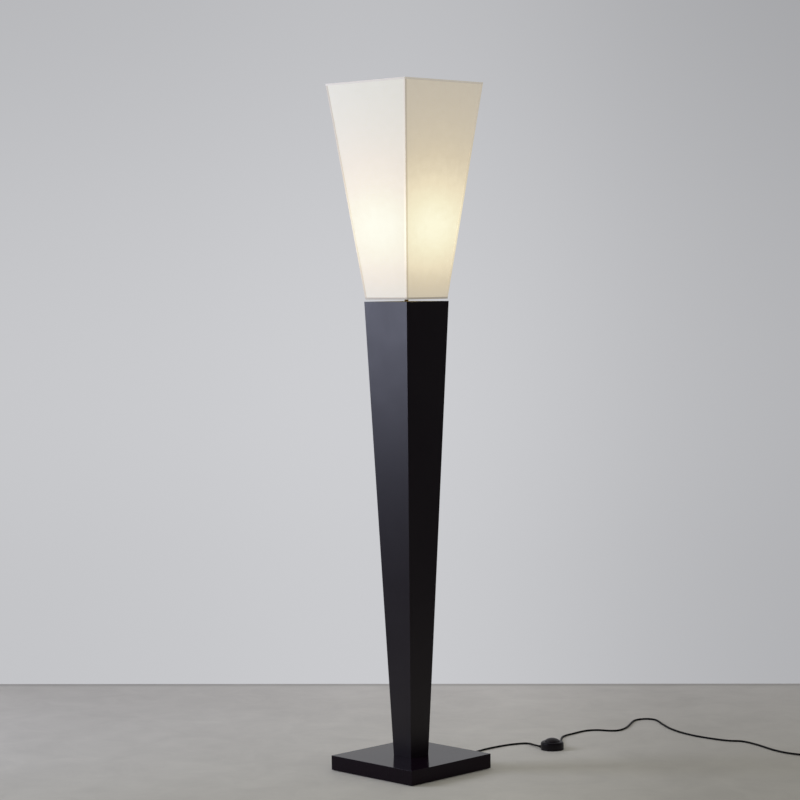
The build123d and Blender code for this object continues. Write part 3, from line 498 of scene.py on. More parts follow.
@dataclass(frozen=True)
class Paper(Finish):
    """Fibrous paper on a thin stiff sheet, lit from inside by the bulb.

    The glow is painted light: it falls off with the distance from the bulb's middle and in the
    shadow of the lampholder, and more of it comes through where the paper is thinner. A strip
    folded over a corner may get a band of painted shade on one side of it.

    Attributes:
        glow: Colours of the glow, from far from the bulb to nearest it.
        bulb_height: Height of the bulb's middle.
        nearest: Distance of the paper that is nearest to it.
        fall: Power at which the glow falls off.
        evenness: How far the glow is as even across a panel as along its middle.
        holder_span: Heights between which the lampholder's shadow ends.
        holder_shadow: Share of the glow in that shadow.
        share: Share of the glow that comes through.
        tone: Colour of the paper.
        dull_side: Share of painted shade on the half right of a corner.
    """

    glow: Stops = FAR_SIDE_GLOW
    bulb_height: float = 1.375
    nearest: float = 0.095
    fall: float = 1.15
    evenness: float = 0.5
    holder_span: tuple[float, float] = (1.185, 1.275)
    holder_shadow: float = 0.74
    share: float = 1.0
    tone: Colour = (0.86, 0.845, 0.815)
    dull_side: float = 0.0

    def nearness(self, graph: Graph) -> Socket:
        """How near the bulb a point lies, 1 where the paper is nearest and unshadowed."""
        x, y, height = graph.add("ShaderNodeSeparateXYZ", {0: graph.place}).outputs
        level = graph.math("SQRT", graph.plus(graph.times(x, x), graph.times(y, y)))
        square = graph.math("MAXIMUM", graph.math("ABSOLUTE", x), graph.math("ABSOLUTE", y))
        values = {"Factor": self.evenness, "A": level, "B": square}
        aside = graph.add("ShaderNodeMix", values).outputs[0]
        rise = graph.math("SUBTRACT", height, self.bulb_height)
        away = graph.math("SQRT", graph.plus(graph.times(aside, aside), graph.times(rise, rise)))
        near = graph.math("POWER", graph.math("DIVIDE", self.nearest, away), self.fall)
        return graph.times(near, graph.ranged(height, self.holder_span, (self.holder_shadow, 1.0)))

    def right_of_corner(self, graph: Graph) -> Socket:
        """1 on the half of a strip that lies right of its corner, seen from outside, else 0."""
        x, y, _ = graph.add("ShaderNodeSeparateXYZ", {0: graph.place}).outputs
        lead = graph.math("SUBTRACT", graph.math("ABSOLUTE", y), graph.math("ABSOLUTE", x))
        return graph.math("GREATER_THAN", graph.times(lead, graph.times(x, y)), 0.0)

    def graph(self, graph: Graph) -> bpy.types.Material:
        """Build the paper: clouds of pulp, long fibres both ways, and the glow behind them."""
        pulp = graph.noise(55.0, 6.0, 0.62)
        upright = graph.noise(60.0, 4.0, 0.6, (3.2, 3.2, 0.35), 0.6)
        level = graph.noise(70.0, 4.0, 0.6, (0.5, 0.5, 4.0), 0.8)
        fine = graph.noise(1400.0, 3.0, 0.6)
        ranges = ((pulp, 0.055), (upright, 0.03), (level, 0.02))
        body = graph.plus(*(graph.spread(pattern, -reach, reach) for pattern, reach in ranges))
        through = graph.times(graph.plus(1.0, body), self.share)
        glow = graph.ramp(graph.times(self.nearness(graph), through), self.glow)
        colour = graph.mix(graph.spread(pulp, 0.0, 1.0), scaled(self.tone, 0.955), self.tone)
        colour = graph.mix(graph.spread(level, 0.12, 0.0), colour, (0.74, 0.70, 0.62))
        # Painted shade: the half of a strip right of its corner is darkened and its glow cut, as a
        # shadow line along the corner.
        if self.dull_side:
            corner_shade_share = graph.times(self.right_of_corner(graph), self.dull_side)
            colour = graph.mix(corner_shade_share, colour, (0.12, 0.125, 0.13))
            glow = graph.mix(graph.times(corner_shade_share, 0.6), glow, (0.0, 0.0, 0.0))
        return graph.finish(
            Base_Color=colour,
            Roughness=graph.spread(fine, 0.72, 0.86),
            Normal=graph.bump(fine, 0.00005, 0.5, graph.bump(upright, 0.00010, 0.5)),
            Specular_IOR_Level=0.25,
            Emission_Color=glow,
            Emission_Strength=1.0,
        )


BARE_WOOD = Coat(
    "board",
    "plain_board",
    patterns=((60.0, 6.0, 0.65, (1.0, 12.0, 1.0), 0.4), (900.0, 2.0, 0.6, (0.2, 1.0, 1.0))),
    tones=((0.30, 0.19, 0.10), (0.52, 0.37, 0.22)),
    rough=((1, 0.62, 0.8),),
    relief=((0, 0.0003, 0.5),),
    blend=(0.0, 1.0 / 0.55),
    marks=(1, (0.30, 0.19, 0.10), 0.25, 0.0),
)
BALLAST_STEEL = Coat(
    "bare_steel",
    "ballast_steel",
    patterns=((70.0, 6.0, 0.7), (40.0, 4.0, 0.6, (1.0, 9.0, 1.0))),
    tones=((0.07, 0.065, 0.065), (0.19, 0.18, 0.18)),
    rough=((0, 0.38, 0.62),),
    relief=((0, 0.00012, 0.6),),
    marks=(1, (0.34, 0.33, 0.32), 0.0, 0.4),
    metallic=0.85,
)
ZINC = Coat(
    "zinc",
    "zinc_steel",
    patterns=((350.0, 5.0, 0.7), (1500.0, 3.0, 0.6)),
    tones=((0.42, 0.43, 0.46), (0.66, 0.66, 0.65)),
    rough=((0, 0.24, 0.4),),
    relief=((1, 0.00002, 0.5),),
    metallic=1.0,
)
FELT = Coat(
    "felt",
    "floor_pad",
    patterns=((900.0, 6.0, 0.75, None, 1.5),),
    tones=((0.035, 0.034, 0.034), (0.13, 0.125, 0.12)),
    rough=((0, 0.88, 1.0),),
    relief=((0, 0.0004, 0.8),),
    sheen=0.3,
)
ENAMEL = Coat(
    "enamel",
    "frame_white",
    patterns=((50.0, 4.0, 0.6), (800.0, 2.0, 0.5)),
    tones=((0.80, 0.79, 0.76), (0.62, 0.60, 0.55)),
    rough=((1, 0.34, 0.48),),
    relief=((1, 0.00005, 0.6),),
    blend=(0.25, 0.0),
)
COLUMN_LACQUER = lacquer("column", (0.37, 0.43), 0.44)
BASE_LACQUER = lacquer("base", (0.07, 0.13), 0.12)
FLEX_BLACK = moulded(
    "flex_sheath", "flex_black", (0.003, 0.003, 0.0028), 0.5, 1200.0, 0.00002, 0.12
)
SWITCH_PLASTIC = moulded(
    "switch_plastic", "switch_black", (0.006, 0.004, 0.006), 0.4, 1800.0, 0.00004, 0.2
)
BUTTON_PLASTIC = moulded(
    "button_plastic", "switch_black", (0.015, 0.010, 0.012), 0.42, 1500.0, 0.00003, 0.3
)
PLUG_RUBBER = moulded("plug_rubber", "plug_black", (0.013, 0.013, 0.014), 0.5, 1500.0, 0.00004)
HOLDER_PLASTIC = moulded("holder_plastic", "holder_plastic", (0.74, 0.73, 0.70), 0.36)
CERAMIC = moulded("holder_ceramic", "holder_ceramic", (0.78, 0.76, 0.71), 0.22, 700.0)
INSULATOR = moulded("bulb_insulator", "bulb_insulator", (0.02, 0.018, 0.02), 0.2)
TIE_TAPE = moulded("tie_tape", "tie_black", (0.018, 0.018, 0.019), 0.75, 2600.0, 0.00012)
NICKEL = metal("nickel_brass", "nickel_brass", (0.72, 0.68, 0.60), 0.2)
CONTACT = metal("contact_brass", "contact_brass", (0.78, 0.58, 0.27), 0.26)
BULB_METAL = metal("bulb_metal", "bulb_metal", (0.76, 0.75, 0.73), 0.24)
NUT_BRASS = metal("nut_brass", "stem_brass", (0.36, 0.27, 0.13), 0.34)
COPPER = metal("core_copper", "core_copper", (0.72, 0.36, 0.22), 0.3)
SPRING = metal("spring_steel", "spring_steel", (0.55, 0.55, 0.56), 0.25)
STEM_BRASS = Brass("brass", "stem_brass")
OPAL_GLASS = OpalGlass("opal_glass", "bulb_glass")
# Panel papers: the same paper with painted glow, dimmer on the key lamp's side.
FAR_SIDE_PAPER = Paper("paper_panel", "shade_paper")
KEY_SIDE_PAPER = Paper("paper_dense_panel", "shade_paper", KEY_SIDE_GLOW)
# The corner tapes carry a band of painted shade right of each corner.
TAPE_PAPER = Paper("paper_tape", "shade_paper", share=0.86, dull_side=0.24)
UPPER_HEM_PAPER = Paper(
    "paper_upper_hem", "shade_paper", share=0.3, tone=(0.92, 0.905, 0.875)
)
# Painted shade: the lower hem's paper is darker and lets little glow through, as a dark line along
# the shade's bottom edge.
LOWER_HEM_SHADED_PAPER = Paper(
    "paper_lower_hem", "shade_paper", share=0.12, tone=(0.60, 0.585, 0.55)
)


# ---------------------------------------------------------------- mesh making


def linked(name: str, data: bpy.types.ID) -> Object:
    """Object made from its data and linked to the scene."""
    thing = bpy.data.objects.new(name, data)
    bpy.context.scene.collection.objects.link(thing)
    return thing


def piece(
    name: str, verts: Iterable[Sequence[float]], faces: Iterable[Sequence[int]], finish: Finish
) -> Object:
    """Make a smoothly shaded object from points and faces, its place in its mesh.

    Args:
        name: Name of the piece.
        verts: Points in metres, in the lamp's frame.
        faces: Corner numbers of each face.
        finish: Finish that it gets.

    Returns:
        The object, linked to the scene.
    """
    mesh = bpy.data.meshes.new(name)
    mesh.from_pydata([tuple(v) for v in verts], [], [tuple(f) for f in faces])
    made = bmesh.new()
    made.from_mesh(mesh)
    bmesh.ops.remove_doubles(made, verts=made.verts, dist=SAME_POINT)
    bmesh.ops.recalc_face_normals(made, faces=made.faces)
    made.to_mesh(mesh)
    made.free()
    mesh.materials.append(finish.material())
    mesh.polygons.foreach_set("use_smooth", [True] * len(mesh.polygons))
    return linked(name, mesh)


def settle(
    thing: Object,
    body: Body,
    nodes: Sequence[str],
    crease: float | None = SHARP_ANGLE,
) -> Object:
    """Let a piece ride on its body and the CAD nodes that it stands for.

    Args:
        thing: The piece.
        body: Moving group that it belongs to.
        nodes: CAD nodes that it replaces.
        crease: Degrees above which its edges stay sharp, or None to leave the shading.

    Returns:
        The piece.
    """
    if crease is not None and thing.type == "MESH":
        thing.data.set_sharp_from_angle(angle=math.radians(crease))
    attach(thing, body.value)
    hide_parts(*nodes)
    log.info("%s: rides on %s, stands for %s", thing.name, body.value, ", ".join(nodes))
    return thing


def rounded(points: Outline, radii: dict[int, float], steps: int = 3) -> Outline:
    """An outline with some of its corners rounded.

    Args:
        points: Closed outline of radius and height.
        radii: Radius of each corner that is rounded, by its number.
        steps: Straight pieces in each rounding.

    Returns:
        The new outline.
    """
    most = 0.49
    made = []
    for index, here in enumerate(points):
        corner = Vector(here)
        if index not in radii:
            made.append(tuple(corner))
            continue
        before = Vector(points[index - 1]) - corner
        after = Vector(points[(index + 1) % len(points)]) - corner
        reach = min(radii[index], most * before.length, most * after.length)
        first = corner + before.normalized() * reach
        last = corner + after.normalized() * reach
        for step in range(steps + 1):
            t = step / steps
            made.append(tuple(first * (1 - t) ** 2 + corner * 2 * t * (1 - t) + last * t**2))
    return made


def lathe(outline: Outline, segments: int = 48) -> tuple[list[Vector], list[list[int]]]:
    """Closed solid of revolution about the upright axis.

    Args:
        outline: Closed outline of radius and height.
        segments: Steps round the axis.

    Returns:
        Points and faces.
    """
    verts, faces = [], []
    count = len(outline)
    for step in range(segments):
        angle = 2 * math.pi * step / segments
        for radius, height in outline:
            verts.append(Vector((radius * math.cos(angle), radius * math.sin(angle), height)))
        a, b = step * count, (step + 1) % segments * count
        for index in range(count):
            after = (index + 1) % count
            if outline[index][0] or outline[after][0]:
                faces.append([a + index, b + index, b + after, a + after])
    return verts, faces


def ring(
    reach: Callable[[float], float] | float, height: float, segments: int = 72
) -> list[Vector]:
    """Closed level loop about the upright axis.

    Args:
        reach: Its radius, or what gives its radius at an angle.
        height: Its height.
        segments: Points round it.

    Returns:
        Its points.
    """
    points = []
    for step in range(segments):
        angle = 2 * math.pi * step / segments
        radius = reach(angle) if callable(reach) else reach
        points.append(Vector((radius * math.cos(angle), radius * math.sin(angle), height)))
    return points


def loft(sections: Sequence[Sequence[Vector]], wrapped: bool) -> tuple[list, list]:
    """Skin over closed sections that all have as many points.

    Args:
        sections: Closed loops of points, in order.
        wrapped: Whether the last section runs on into the first, else the ends are closed.

    Returns:
        Points and faces.
    """
    verts = [v for section in sections for v in section]
    count, faces = len(sections[0]), []
    for row in range(len(sections) if wrapped else len(sections) - 1):
        a, b = row * count, (row + 1) % len(sections) * count
        for index in range(count):
            after = (index + 1) % count
            faces.append([a + index, a + after, b + after, b + index])
    if not wrapped:
        faces.append(list(range(count)))
        faces.append([len(verts) - 1 - index for index in range(count)])
    return verts, faces


def copied(name: str, node: str, finish: Finish) -> bpy.types.Mesh:
    """Copy of a CAD node's mesh, in a finish."""
    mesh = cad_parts[node].data.copy()
    mesh.name = name
    mesh.materials.clear()
    mesh.materials.append(finish.material())
    return mesh


def softened(name: str, node: str, body: Body, finish: Finish, width: float) -> Object:
    """Copy of a CAD node with its sharp edges rounded, in the node's place.

    Args:
        name: Name of the new piece.
        node: CAD node that is copied and replaced.
        body: Moving group of the node.
        finish: Finish of the piece.
        width: Width of the rounding in metres.

    Returns:
        The piece.
    """
    mesh = copied(name, node, finish)
    made = bmesh.new()
    made.from_mesh(mesh)
    bmesh.ops.remove_doubles(made, verts=made.verts, dist=SAME_CAD_POINT)
    flat = math.radians(FLAT_ANGLE)
    bmesh.ops.dissolve_limit(made, angle_limit=flat, verts=made.verts, edges=made.edges)
    made.to_mesh(mesh)
    made.free()
    mesh.polygons.foreach_set("use_smooth", [True] * len(mesh.polygons))
    thing = linked(name, mesh)
    modifier = thing.modifiers.new("soft_edges", "BEVEL")
    modifier.width = width
    modifier.segments = 3
    modifier.limit_method = "ANGLE"
    modifier.angle_limit = math.radians(SHARP_ANGLE)
    modifier.harden_normals = True
    return settle(thing, body, [node], None)


# ---------------------------------------------------------------- fasteners by geometry nodes


class FastenerTree:
    """Geometry nodes that put one fastener on every point of a mesh, each at its own turn."""

    sockets = {
        "Points": "NodeSocketGeometry",
        "Fastener": "NodeSocketObject",
        "Finish": "NodeSocketMaterial",
        "Largest Turn": "NodeSocketFloat",
        "Size": "NodeSocketFloat",
    }
    seed = 7

    def __init__(self) -> None:
        """Build the tree with its named inputs."""
        self.group = bpy.data.node_groups.new("place_fasteners", "GeometryNodeTree")
        face = self.group.interface
        self.inputs = {
            name: face.new_socket(name, in_out="INPUT", socket_type=kind).identifier
            for name, kind in self.sockets.items()
        }
        face.new_socket("Fasteners", in_out="OUTPUT", socket_type="NodeSocketGeometry")
        tree = Nodes(self.group)
        given = tree.add("NodeGroupInput").outputs
        model = tree.add("GeometryNodeObjectInfo", {"Object": given["Fastener"]})
        span = tree.add("ShaderNodeCombineXYZ", {"Z": given["Largest Turn"]})
        values = {"Max": span.outputs["Vector"], "Seed": self.seed}
        turn = tree.add("FunctionNodeRandomValue", values, data_type="FLOAT_VECTOR")
        values = {
            "Points": given["Points"],
            "Instance": model.outputs["Geometry"],
            "Rotation": turn.outputs["Value"],
            "Scale": given["Size"],
        }
        copies = tree.add("GeometryNodeInstanceOnPoints", values).outputs["Instances"]
        real = tree.add("GeometryNodeRealizeInstances", {"Geometry": copies})
        values = {"Geometry": real.outputs["Geometry"], "Material": given["Finish"]}
        dressed = tree.add("GeometryNodeSetMaterial", values).outputs["Geometry"]
        tree.add("NodeGroupOutput", {"Fasteners": dressed})

    def place(
        self, name: str, fastener: Object, places: Iterable[Point], finish: Finish, turn: float
    ) -> Object:
        """Put a fastener on every place and make the result one plain mesh.

        Args:
            name: Name of the finished piece.
            fastener: Object that is repeated; it is removed afterwards.
            places: Origins of the copies, in metres.
            finish: Finish of the copies.
            turn: Largest turn about the upright axis, in radians.

        Returns:
            The finished piece.
        """
        points = bpy.data.meshes.new(f"{name}_places")
        points.from_pydata([tuple(p) for p in places], [], [])
        holder = linked(points.name, points)
        modifier = holder.modifiers.new("place_fasteners", "NODES")
        modifier.node_group = self.group
        modifier[self.inputs["Fastener"]] = fastener
        modifier[self.inputs["Finish"]] = finish.material()
        modifier[self.inputs["Largest Turn"]] = turn
        modifier[self.inputs["Size"]] = 1.0
        graph = bpy.context.evaluated_depsgraph_get()
        mesh = bpy.data.meshes.new_from_object(holder.evaluated_get(graph), depsgraph=graph)
        mesh.name = name
        thing = linked(name, mesh)
        bpy.data.objects.remove(holder)
        bpy.data.objects.remove(fastener)
        return thing


# ---------------------------------------------------------------- base, column and stem


@dataclass
class Base:
    """Lacquered square base with its ballast, bottom cover, pads, screws and strain relief."""

    half: float = 0.142
    lead_height: float = 0.012
    cover_bottom: float = 0.002
    screw_edge: float = 0.114
    screw_spread: float = 0.070
    saddle_screw: Point = (0.0086, 0.026, 0.014)
    screw_head: float = 0.003
    screw_head_height: float = 0.0015
    screw_rim: float = 0.0001
    screw_shank: float = 0.0015
    screw_length: float = 0.013
    screw_point: float = 0.0025
    recess_depth: float = 0.0012
    recess_radius: float = 0.0011
    recess_waist: float = 0.0006
    recess_arm: float = 0.0013
    largest_turn: float = 2.0
    relief_inside: float = 0.020
    relief_outside: float = 0.026
    relief_lip: float = 0.002
    relief_bore: float = 0.0026
    relief_neck: float = 0.0045
    relief_flange: float = 0.0075
    relief_tail: tuple[float, float] = (0.0055, 0.0037)
    relief_groove: float = 0.0007
    relief_rings: int = 5

    def wood_screw(self) -> Object:
        """Countersunk screw with a cross recess, point up, its flat face at the origin."""
        outline = [
            (0.0, self.recess_depth),
            (self.recess_radius, 0.0),
            (self.screw_head - self.screw_rim, 0.0),
            (self.screw_head, self.screw_rim),
            (self.screw_shank, self.screw_head_height),
            (self.screw_shank, self.screw_length - self.screw_point),
            (0.0, self.screw_length),
        ]
        verts, faces = lathe(outline, 24)
        for index, v in enumerate(verts):
            if v.z < SAME_POINT and math.hypot(v.x, v.y) < self.screw_shank:
                angle = math.atan2(v.y, v.x)
                reach = self.recess_waist + self.recess_arm * abs(math.cos(2 * angle)) ** 3
                verts[index] = Vector((reach * math.cos(angle), reach * math.sin(angle), 0.0))
        return piece("wood_screw_pattern", verts, faces, ZINC)

    def strain_relief(self) -> Object:
        """Rubber sleeve in the back of the base, with rings cut in its tapered tail."""
        start, end = self.half - self.relief_inside, self.half + self.relief_outside
        flange = self.half + self.relief_lip
        thick, thin = self.relief_tail
        outline = [
            (self.relief_bore, start),
            (self.relief_neck, start),
            (self.relief_neck, self.half),
            (self.relief_flange, self.half),
            (self.relief_flange, flange),
        ]
        for number in range(self.relief_rings):
            for share, cut in ((0.12, False), (0.55, False), (0.65, True), (0.9, True)):
                t = (number + share) / self.relief_rings
                radius = thick + (thin - thick) * t - cut * self.relief_groove
                outline.append((radius, flange + (end - flange) * t))
        outline += [(thin - 0.0001, end), (self.relief_bore, end)]
        rims = {1: 0.0004, 3: 0.0005, 4: 0.0006, len(outline) - 2: 0.0004}
        verts, faces = lathe(rounded(outline, rims))
        lay = Matrix.Translation((0.0, 0.0, self.lead_height))
        lay = lay @ Matrix.Rotation(math.radians(-90), 4, "X")
        return piece("strain_relief", [lay @ v for v in verts], faces, FLEX_BLACK)

    def build(self, fasteners: FastenerTree) -> None:
        """Dress the base's nodes and make its strain relief and screws."""
        BASE_LACQUER.dress("base_plate")
        BARE_WOOD.dress("base_cover")
        BALLAST_STEEL.dress("ballast_plate")
        FELT.dress("floor_pads")
        ZINC.dress("ballast_screws", "foot_screws")
        softened("saddle_pressed", "lead_saddle", Body.LAMP, SWITCH_PLASTIC, 0.0004)
        FLEX_BLACK.dress("inner_lead")
        settle(self.strain_relief(), Body.LAMP, ["flex_bush"])
        edge, spread, low = self.screw_edge, self.screw_spread, self.cover_bottom
        corners = [(x, y) for x in (-1, 1) for y in (-1, 1)]
        places = [(edge * x, spread * y, low) for x, y in corners]
        places += [(spread * x, edge * y, low) for x, y in corners]
        x, y, z = self.saddle_screw
        places += [(-x, y, z), (x, y, z)]
        pattern = self.wood_screw()
        screws = fasteners.place("wood_screws_driven", pattern, places, ZINC, self.largest_turn)
        settle(screws, Body.LAMP, ["wood_screws"])


class Column:
    """Four lacquered boards on a foot block, with a guide board and a top board inside."""

    def build(self) -> None:
        """Dress the column's nodes."""
        COLUMN_LACQUER.dress(*(f"column_{side.label}" for side in Side))
        BARE_WOOD.dress("foot_block", "guide_board")
        COLUMN_LACQUER.dress("top_board")


@dataclass
class Stem:
    """Threaded brass pipe with its nuts and washers.

    Attributes:
        stacks: Bottom of each washer and of the nut that holds it.
    """

    nut_flats: float = 0.014
    nut_thickness: float = 0.004
    nut_chamfer: float = 0.0006
    nut_corner_cut: float = 0.0011
    washer_radius: float = 0.009
    washer_thickness: float = 0.0015
    hole: float = 0.00505
    hole_chamfer: float = 0.0003
    stacks: Levels = ((0.0505, 0.0465), (1.172, 1.1735), (1.197, 1.193), (1.201, 1.2025))
    largest_turn: float = 1.0

    def nut(self) -> Object:
        """Hexagon nut with chamfered corners, its bottom at the origin."""
        flat, sixth = self.nut_flats / 2, math.pi / 3
        corner = flat / math.cos(sixth / 2)
        cut = corner - self.nut_corner_cut

        def side(angle: float, limit: float) -> float:
            """Distance of the nut's side at an angle, cut off at a limit."""
            within = (angle + sixth / 2) % sixth - sixth / 2
            return min(flat / math.cos(within), limit)

        top, chamfer, hole = self.nut_thickness, self.nut_chamfer, self.hole
        levels = ((0.0, cut), (chamfer, corner), (top - chamfer, corner), (top, cut))
        sections = [ring(lambda angle: side(angle, limit), level) for level, limit in levels]
        bevel = self.hole_chamfer
        bore = ((hole + bevel, top), (hole, top - bevel), (hole, bevel), (hole + bevel, 0.0))
        sections += [ring(radius, level) for radius, level in bore]
        return piece("nut_pattern", *loft(sections, wrapped=True), NUT_BRASS)

    def washer(self) -> Object:
        """Pressed washer with softened rims, its bottom at the origin."""
        hole, rim, thick = self.hole, self.washer_radius, self.washer_thickness
        outline = [(hole, 0.0), (rim, 0.0), (rim, thick), (hole, thick)]
        outline = rounded(outline, {0: 0.0002, 1: 0.0004, 2: 0.0004, 3: 0.0002})
        return piece("washer_pattern", *lathe(outline), NUT_BRASS)

    def build(self, fasteners: FastenerTree) -> None:
        """Dress the pipe and put on its nuts and washers."""
        STEM_BRASS.dress("stem_pipe")
        washers, nuts = ([(0.0, 0.0, height) for height in row] for row in zip(*self.stacks))
        turn = self.largest_turn
        nuts = fasteners.place("stem_nuts_tightened", self.nut(), nuts, NUT_BRASS, turn)
        settle(nuts, Body.LAMP, ["stem_nuts"], 25.0)
        washers = fasteners.place("stem_washers_seated", self.washer(), washers, NUT_BRASS, turn)
        settle(washers, Body.LAMP, ["stem_washers"])


# ---------------------------------------------------------------- shade


@dataclass
class Shade:
    """Square paper shade that widens upwards, on a wire frame that turns on the stem."""

    bottom: float = 1.1845
    top: float = 1.720
    foot_side: float = 0.1445
    top_side: float = 0.2765
    panel: float = 0.0008
    bow: float = 0.00035
    bow_wave: float = 0.00030
    hem_width: float = 0.005
    hem_thickness: float = 0.0004
    tape_width: float = 0.006
    tape_thickness: float = 0.0003
    tape_fold: float = 0.0005
    tape_wander: float = 0.00025
    gap: float = 0.00005

    @property
    def lean(self) -> float:
        """Lean of the panels from upright, in radians."""
        return math.atan((self.top_side - self.foot_side) / 2 / (self.top - self.bottom))

    def half(self, height: float, out: float = 0.0) -> float:
        """Half of the shade's side at a height, moved out square to the panels."""
        share = (height - self.bottom) / (self.top - self.bottom)
        side = self.foot_side + (self.top_side - self.foot_side) * share
        return side / 2 + out / math.cos(self.lean)

    def panel_piece(self, side: Side) -> Object:
        """One panel: a thin sheet, mitred at its sides, that bows in between the wires.

        Args:
            side: Side of the lamp that it is on.

        Returns:
            The panel.
        """
        low = self.bottom + self.hem_thickness + self.gap
        high = self.top - self.hem_thickness - self.gap
        across, up = 24, 64
        seed = Vector((3.1 * side.value[1], 0.7, 0.0))
        verts = []
        for face in (0, 1):
            for row in range(up + 1):
                w = row / up
                height = low + (high - low) * w
                outer = self.half(height, -face * self.panel)
                for column in range(across + 1):
                    u = 2 * column / across - 1
                    hold = (1 - u * u) * min(1.0, 12 * w) * min(1.0, 12 * (1 - w))
                    wave = noise.noise(Vector((2.2 * u, 7.0 * w, 0.0)) + seed)
                    bow = max(0.0, hold * (self.bow + self.bow_wave * wave))
                    verts.append(side.turn @ Vector((u * outer, bow - outer, height)))

        def patch(*corners: tuple[int, int, int]) -> list[int]:
            """Face over four points, each given by its side of the sheet, row and column."""
            return [(face * (up + 1) + row) * (across + 1) + col for face, row, col in corners]

        faces = [
            patch(
                (face, row, col), (face, row, col + 1),
                (face, row + 1, col + 1), (face, row + 1, col),
            )
            for row in range(up)
            for col in range(across)
            for face in (0, 1)
        ]
        for row in range(up):
            for col in (0, across):
                corners = (0, row, col), (0, row + 1, col), (1, row + 1, col), (1, row, col)
                faces.append(patch(*corners))
        for col in range(across):
            for row in (0, up):
                corners = (0, row, col), (0, row, col + 1), (1, row, col + 1), (1, row, col)
                faces.append(patch(*corners))
        # Painted light: the front and left panels, which the key lamp lights, get a dimmer painted
        # glow than the right and back.
        paper = KEY_SIDE_PAPER if side in (Side.FRONT, Side.LEFT) else FAR_SIDE_PAPER
        made = piece(f"paper_panel_{side.label}", verts, faces, paper)
        return settle(made, Body.SHADE, [f"shade_panel_{side.label}"])

    def loop(self, height: float, out: float) -> list[Vector]:
        """Closed square loop round the shade with small round corners.

        Args:
            height: Height of the loop.
            out: How far outside the panels' face it runs.

        Returns:
            Its points, always as many.
        """
        half, radius, along, round_corner = self.half(height, out), 0.0006, 13, 4
        inner = half - radius
        side = [(inner * (2 * step / along - 1), -half) for step in range(along)]
        for step in range(round_corner):
            angle = math.pi / 2 * (step / round_corner - 1)
            side.append((inner + radius * math.cos(angle), radius * math.sin(angle) - inner))
        return [face.turn @ Vector((x, y, height)) for face in Side for x, y in side]

    def hem_piece(self, edge: Edge) -> Object:
        """Paper strip folded over the panels' edge at one end of the shade.

        Args:
            edge: Which end it closes.

        Returns:
            The hem.
        """
        # The lower hem takes the paper with painted shade along the bottom edge.
        start, finish = self.bottom, LOWER_HEM_SHADED_PAPER
        if edge is Edge.UPPER:
            start, finish = self.top, UPPER_HEM_PAPER
        gap, skin, width = self.gap, self.hem_thickness, self.hem_width
        section = [
            (-self.panel, 0.0),
            (gap + 0.4 * skin, 0.0),
            (gap + 0.85 * skin, 0.12 * skin),
            (gap + skin, 0.5 * skin),
            (gap + skin, 0.5 * width),
            (gap + skin, 0.94 * width),
            (gap + 0.5 * skin, width),
            (gap, width),
            (gap, 0.5 * width),
            (gap, skin),
            (-self.panel, skin),
        ]
        loops = [self.loop(start + edge.value * rise, out) for out, rise in section]
        label = edge.name.lower()
        made = piece(f"paper_hem_{label}", *loft(loops, wrapped=True), finish)
        return settle(made, Body.SHADE, [f"{label}_hem"])

    def tape_piece(self) -> Object:
        """The four paper strips folded over the shade's corners, between the hems."""
        low = self.bottom + self.hem_width + self.gap
        high = self.top - self.hem_width - self.gap
        fold, rows = self.tape_fold, 40
        verts, faces = [], []
        for side in Side:
            sections = []
            for row in range(rows + 1):
                height = low + (high - low) * row / rows
                spot = Vector((9.0 * side.value[1], 55.0 * height, 0.0))
                edge = self.half(height) - self.tape_width + self.tape_wander * noise.noise(spot)
                near = self.half(height, self.gap)
                far = self.half(height, self.gap + self.tape_thickness)
                section = [
                    (edge, -near),
                    (edge + 0.0001, -far + 0.00008),
                    (edge + 0.0004, -far),
                    (far - 3 * fold, -far),
                    (far - fold, -far),
                    (far - 0.3 * fold, -far + 0.3 * fold),
                    (far, -far + fold),
                    (far, -far + 3 * fold),
                    (far, -edge - 0.0004),
                    (far - 0.00008, -edge - 0.0001),
                    (near, -edge),
                    (near, -near + fold),
                    (near - 0.3 * fold, -near + 0.3 * fold),
                    (near - fold, -near),
                ]
                sections.append([side.turn @ Vector((x, y, height)) for x, y in section])
            strip_verts, strip_faces = loft(sections, wrapped=False)
            faces += [[len(verts) + index for index in face] for face in strip_faces]
            verts += strip_verts
        made = piece("paper_corner_tapes", verts, faces, TAPE_PAPER)
        return settle(made, Body.SHADE, ["corner_tapes"])

    def build(self) -> None:
        trims = [self.hem_piece(Edge.LOWER), self.hem_piece(Edge.UPPER), self.tape_piece()]
        for side in Side:
            sheet = self.panel_piece(side)
        ENAMEL.dress("lower_ring", "upper_ring", "corner_struts")
        softened("carrier_hub_pressed", "carrier_hub", Body.SHADE, ENAMEL, 0.0005)
        softened("carrier_arms_bent", "carrier_arms", Body.SHADE, ENAMEL, 0.0003)


# ---------------------------------------------------------------- lampholder and bulb


class Lampholder:
    """Screw lampholder on top of the stem, with its contacts and the lead's cores."""

    def build(self) -> None:
        """Dress the lampholder's nodes."""
        softened("holder_cap_moulded", "holder_cap", Body.LAMP, HOLDER_PLASTIC, 0.0005)
        softened("holder_shell_moulded", "holder_shell", Body.LAMP, HOLDER_PLASTIC, 0.0006)
        softened("holder_insert_fired", "holder_insert", Body.LAMP, CERAMIC, 0.0004)
        NICKEL.dress("screw_shell")
        CONTACT.dress("centre_contact", "terminal_screws")
        ZINC.dress("locking_screw")
        COPPER.dress("core_wires")


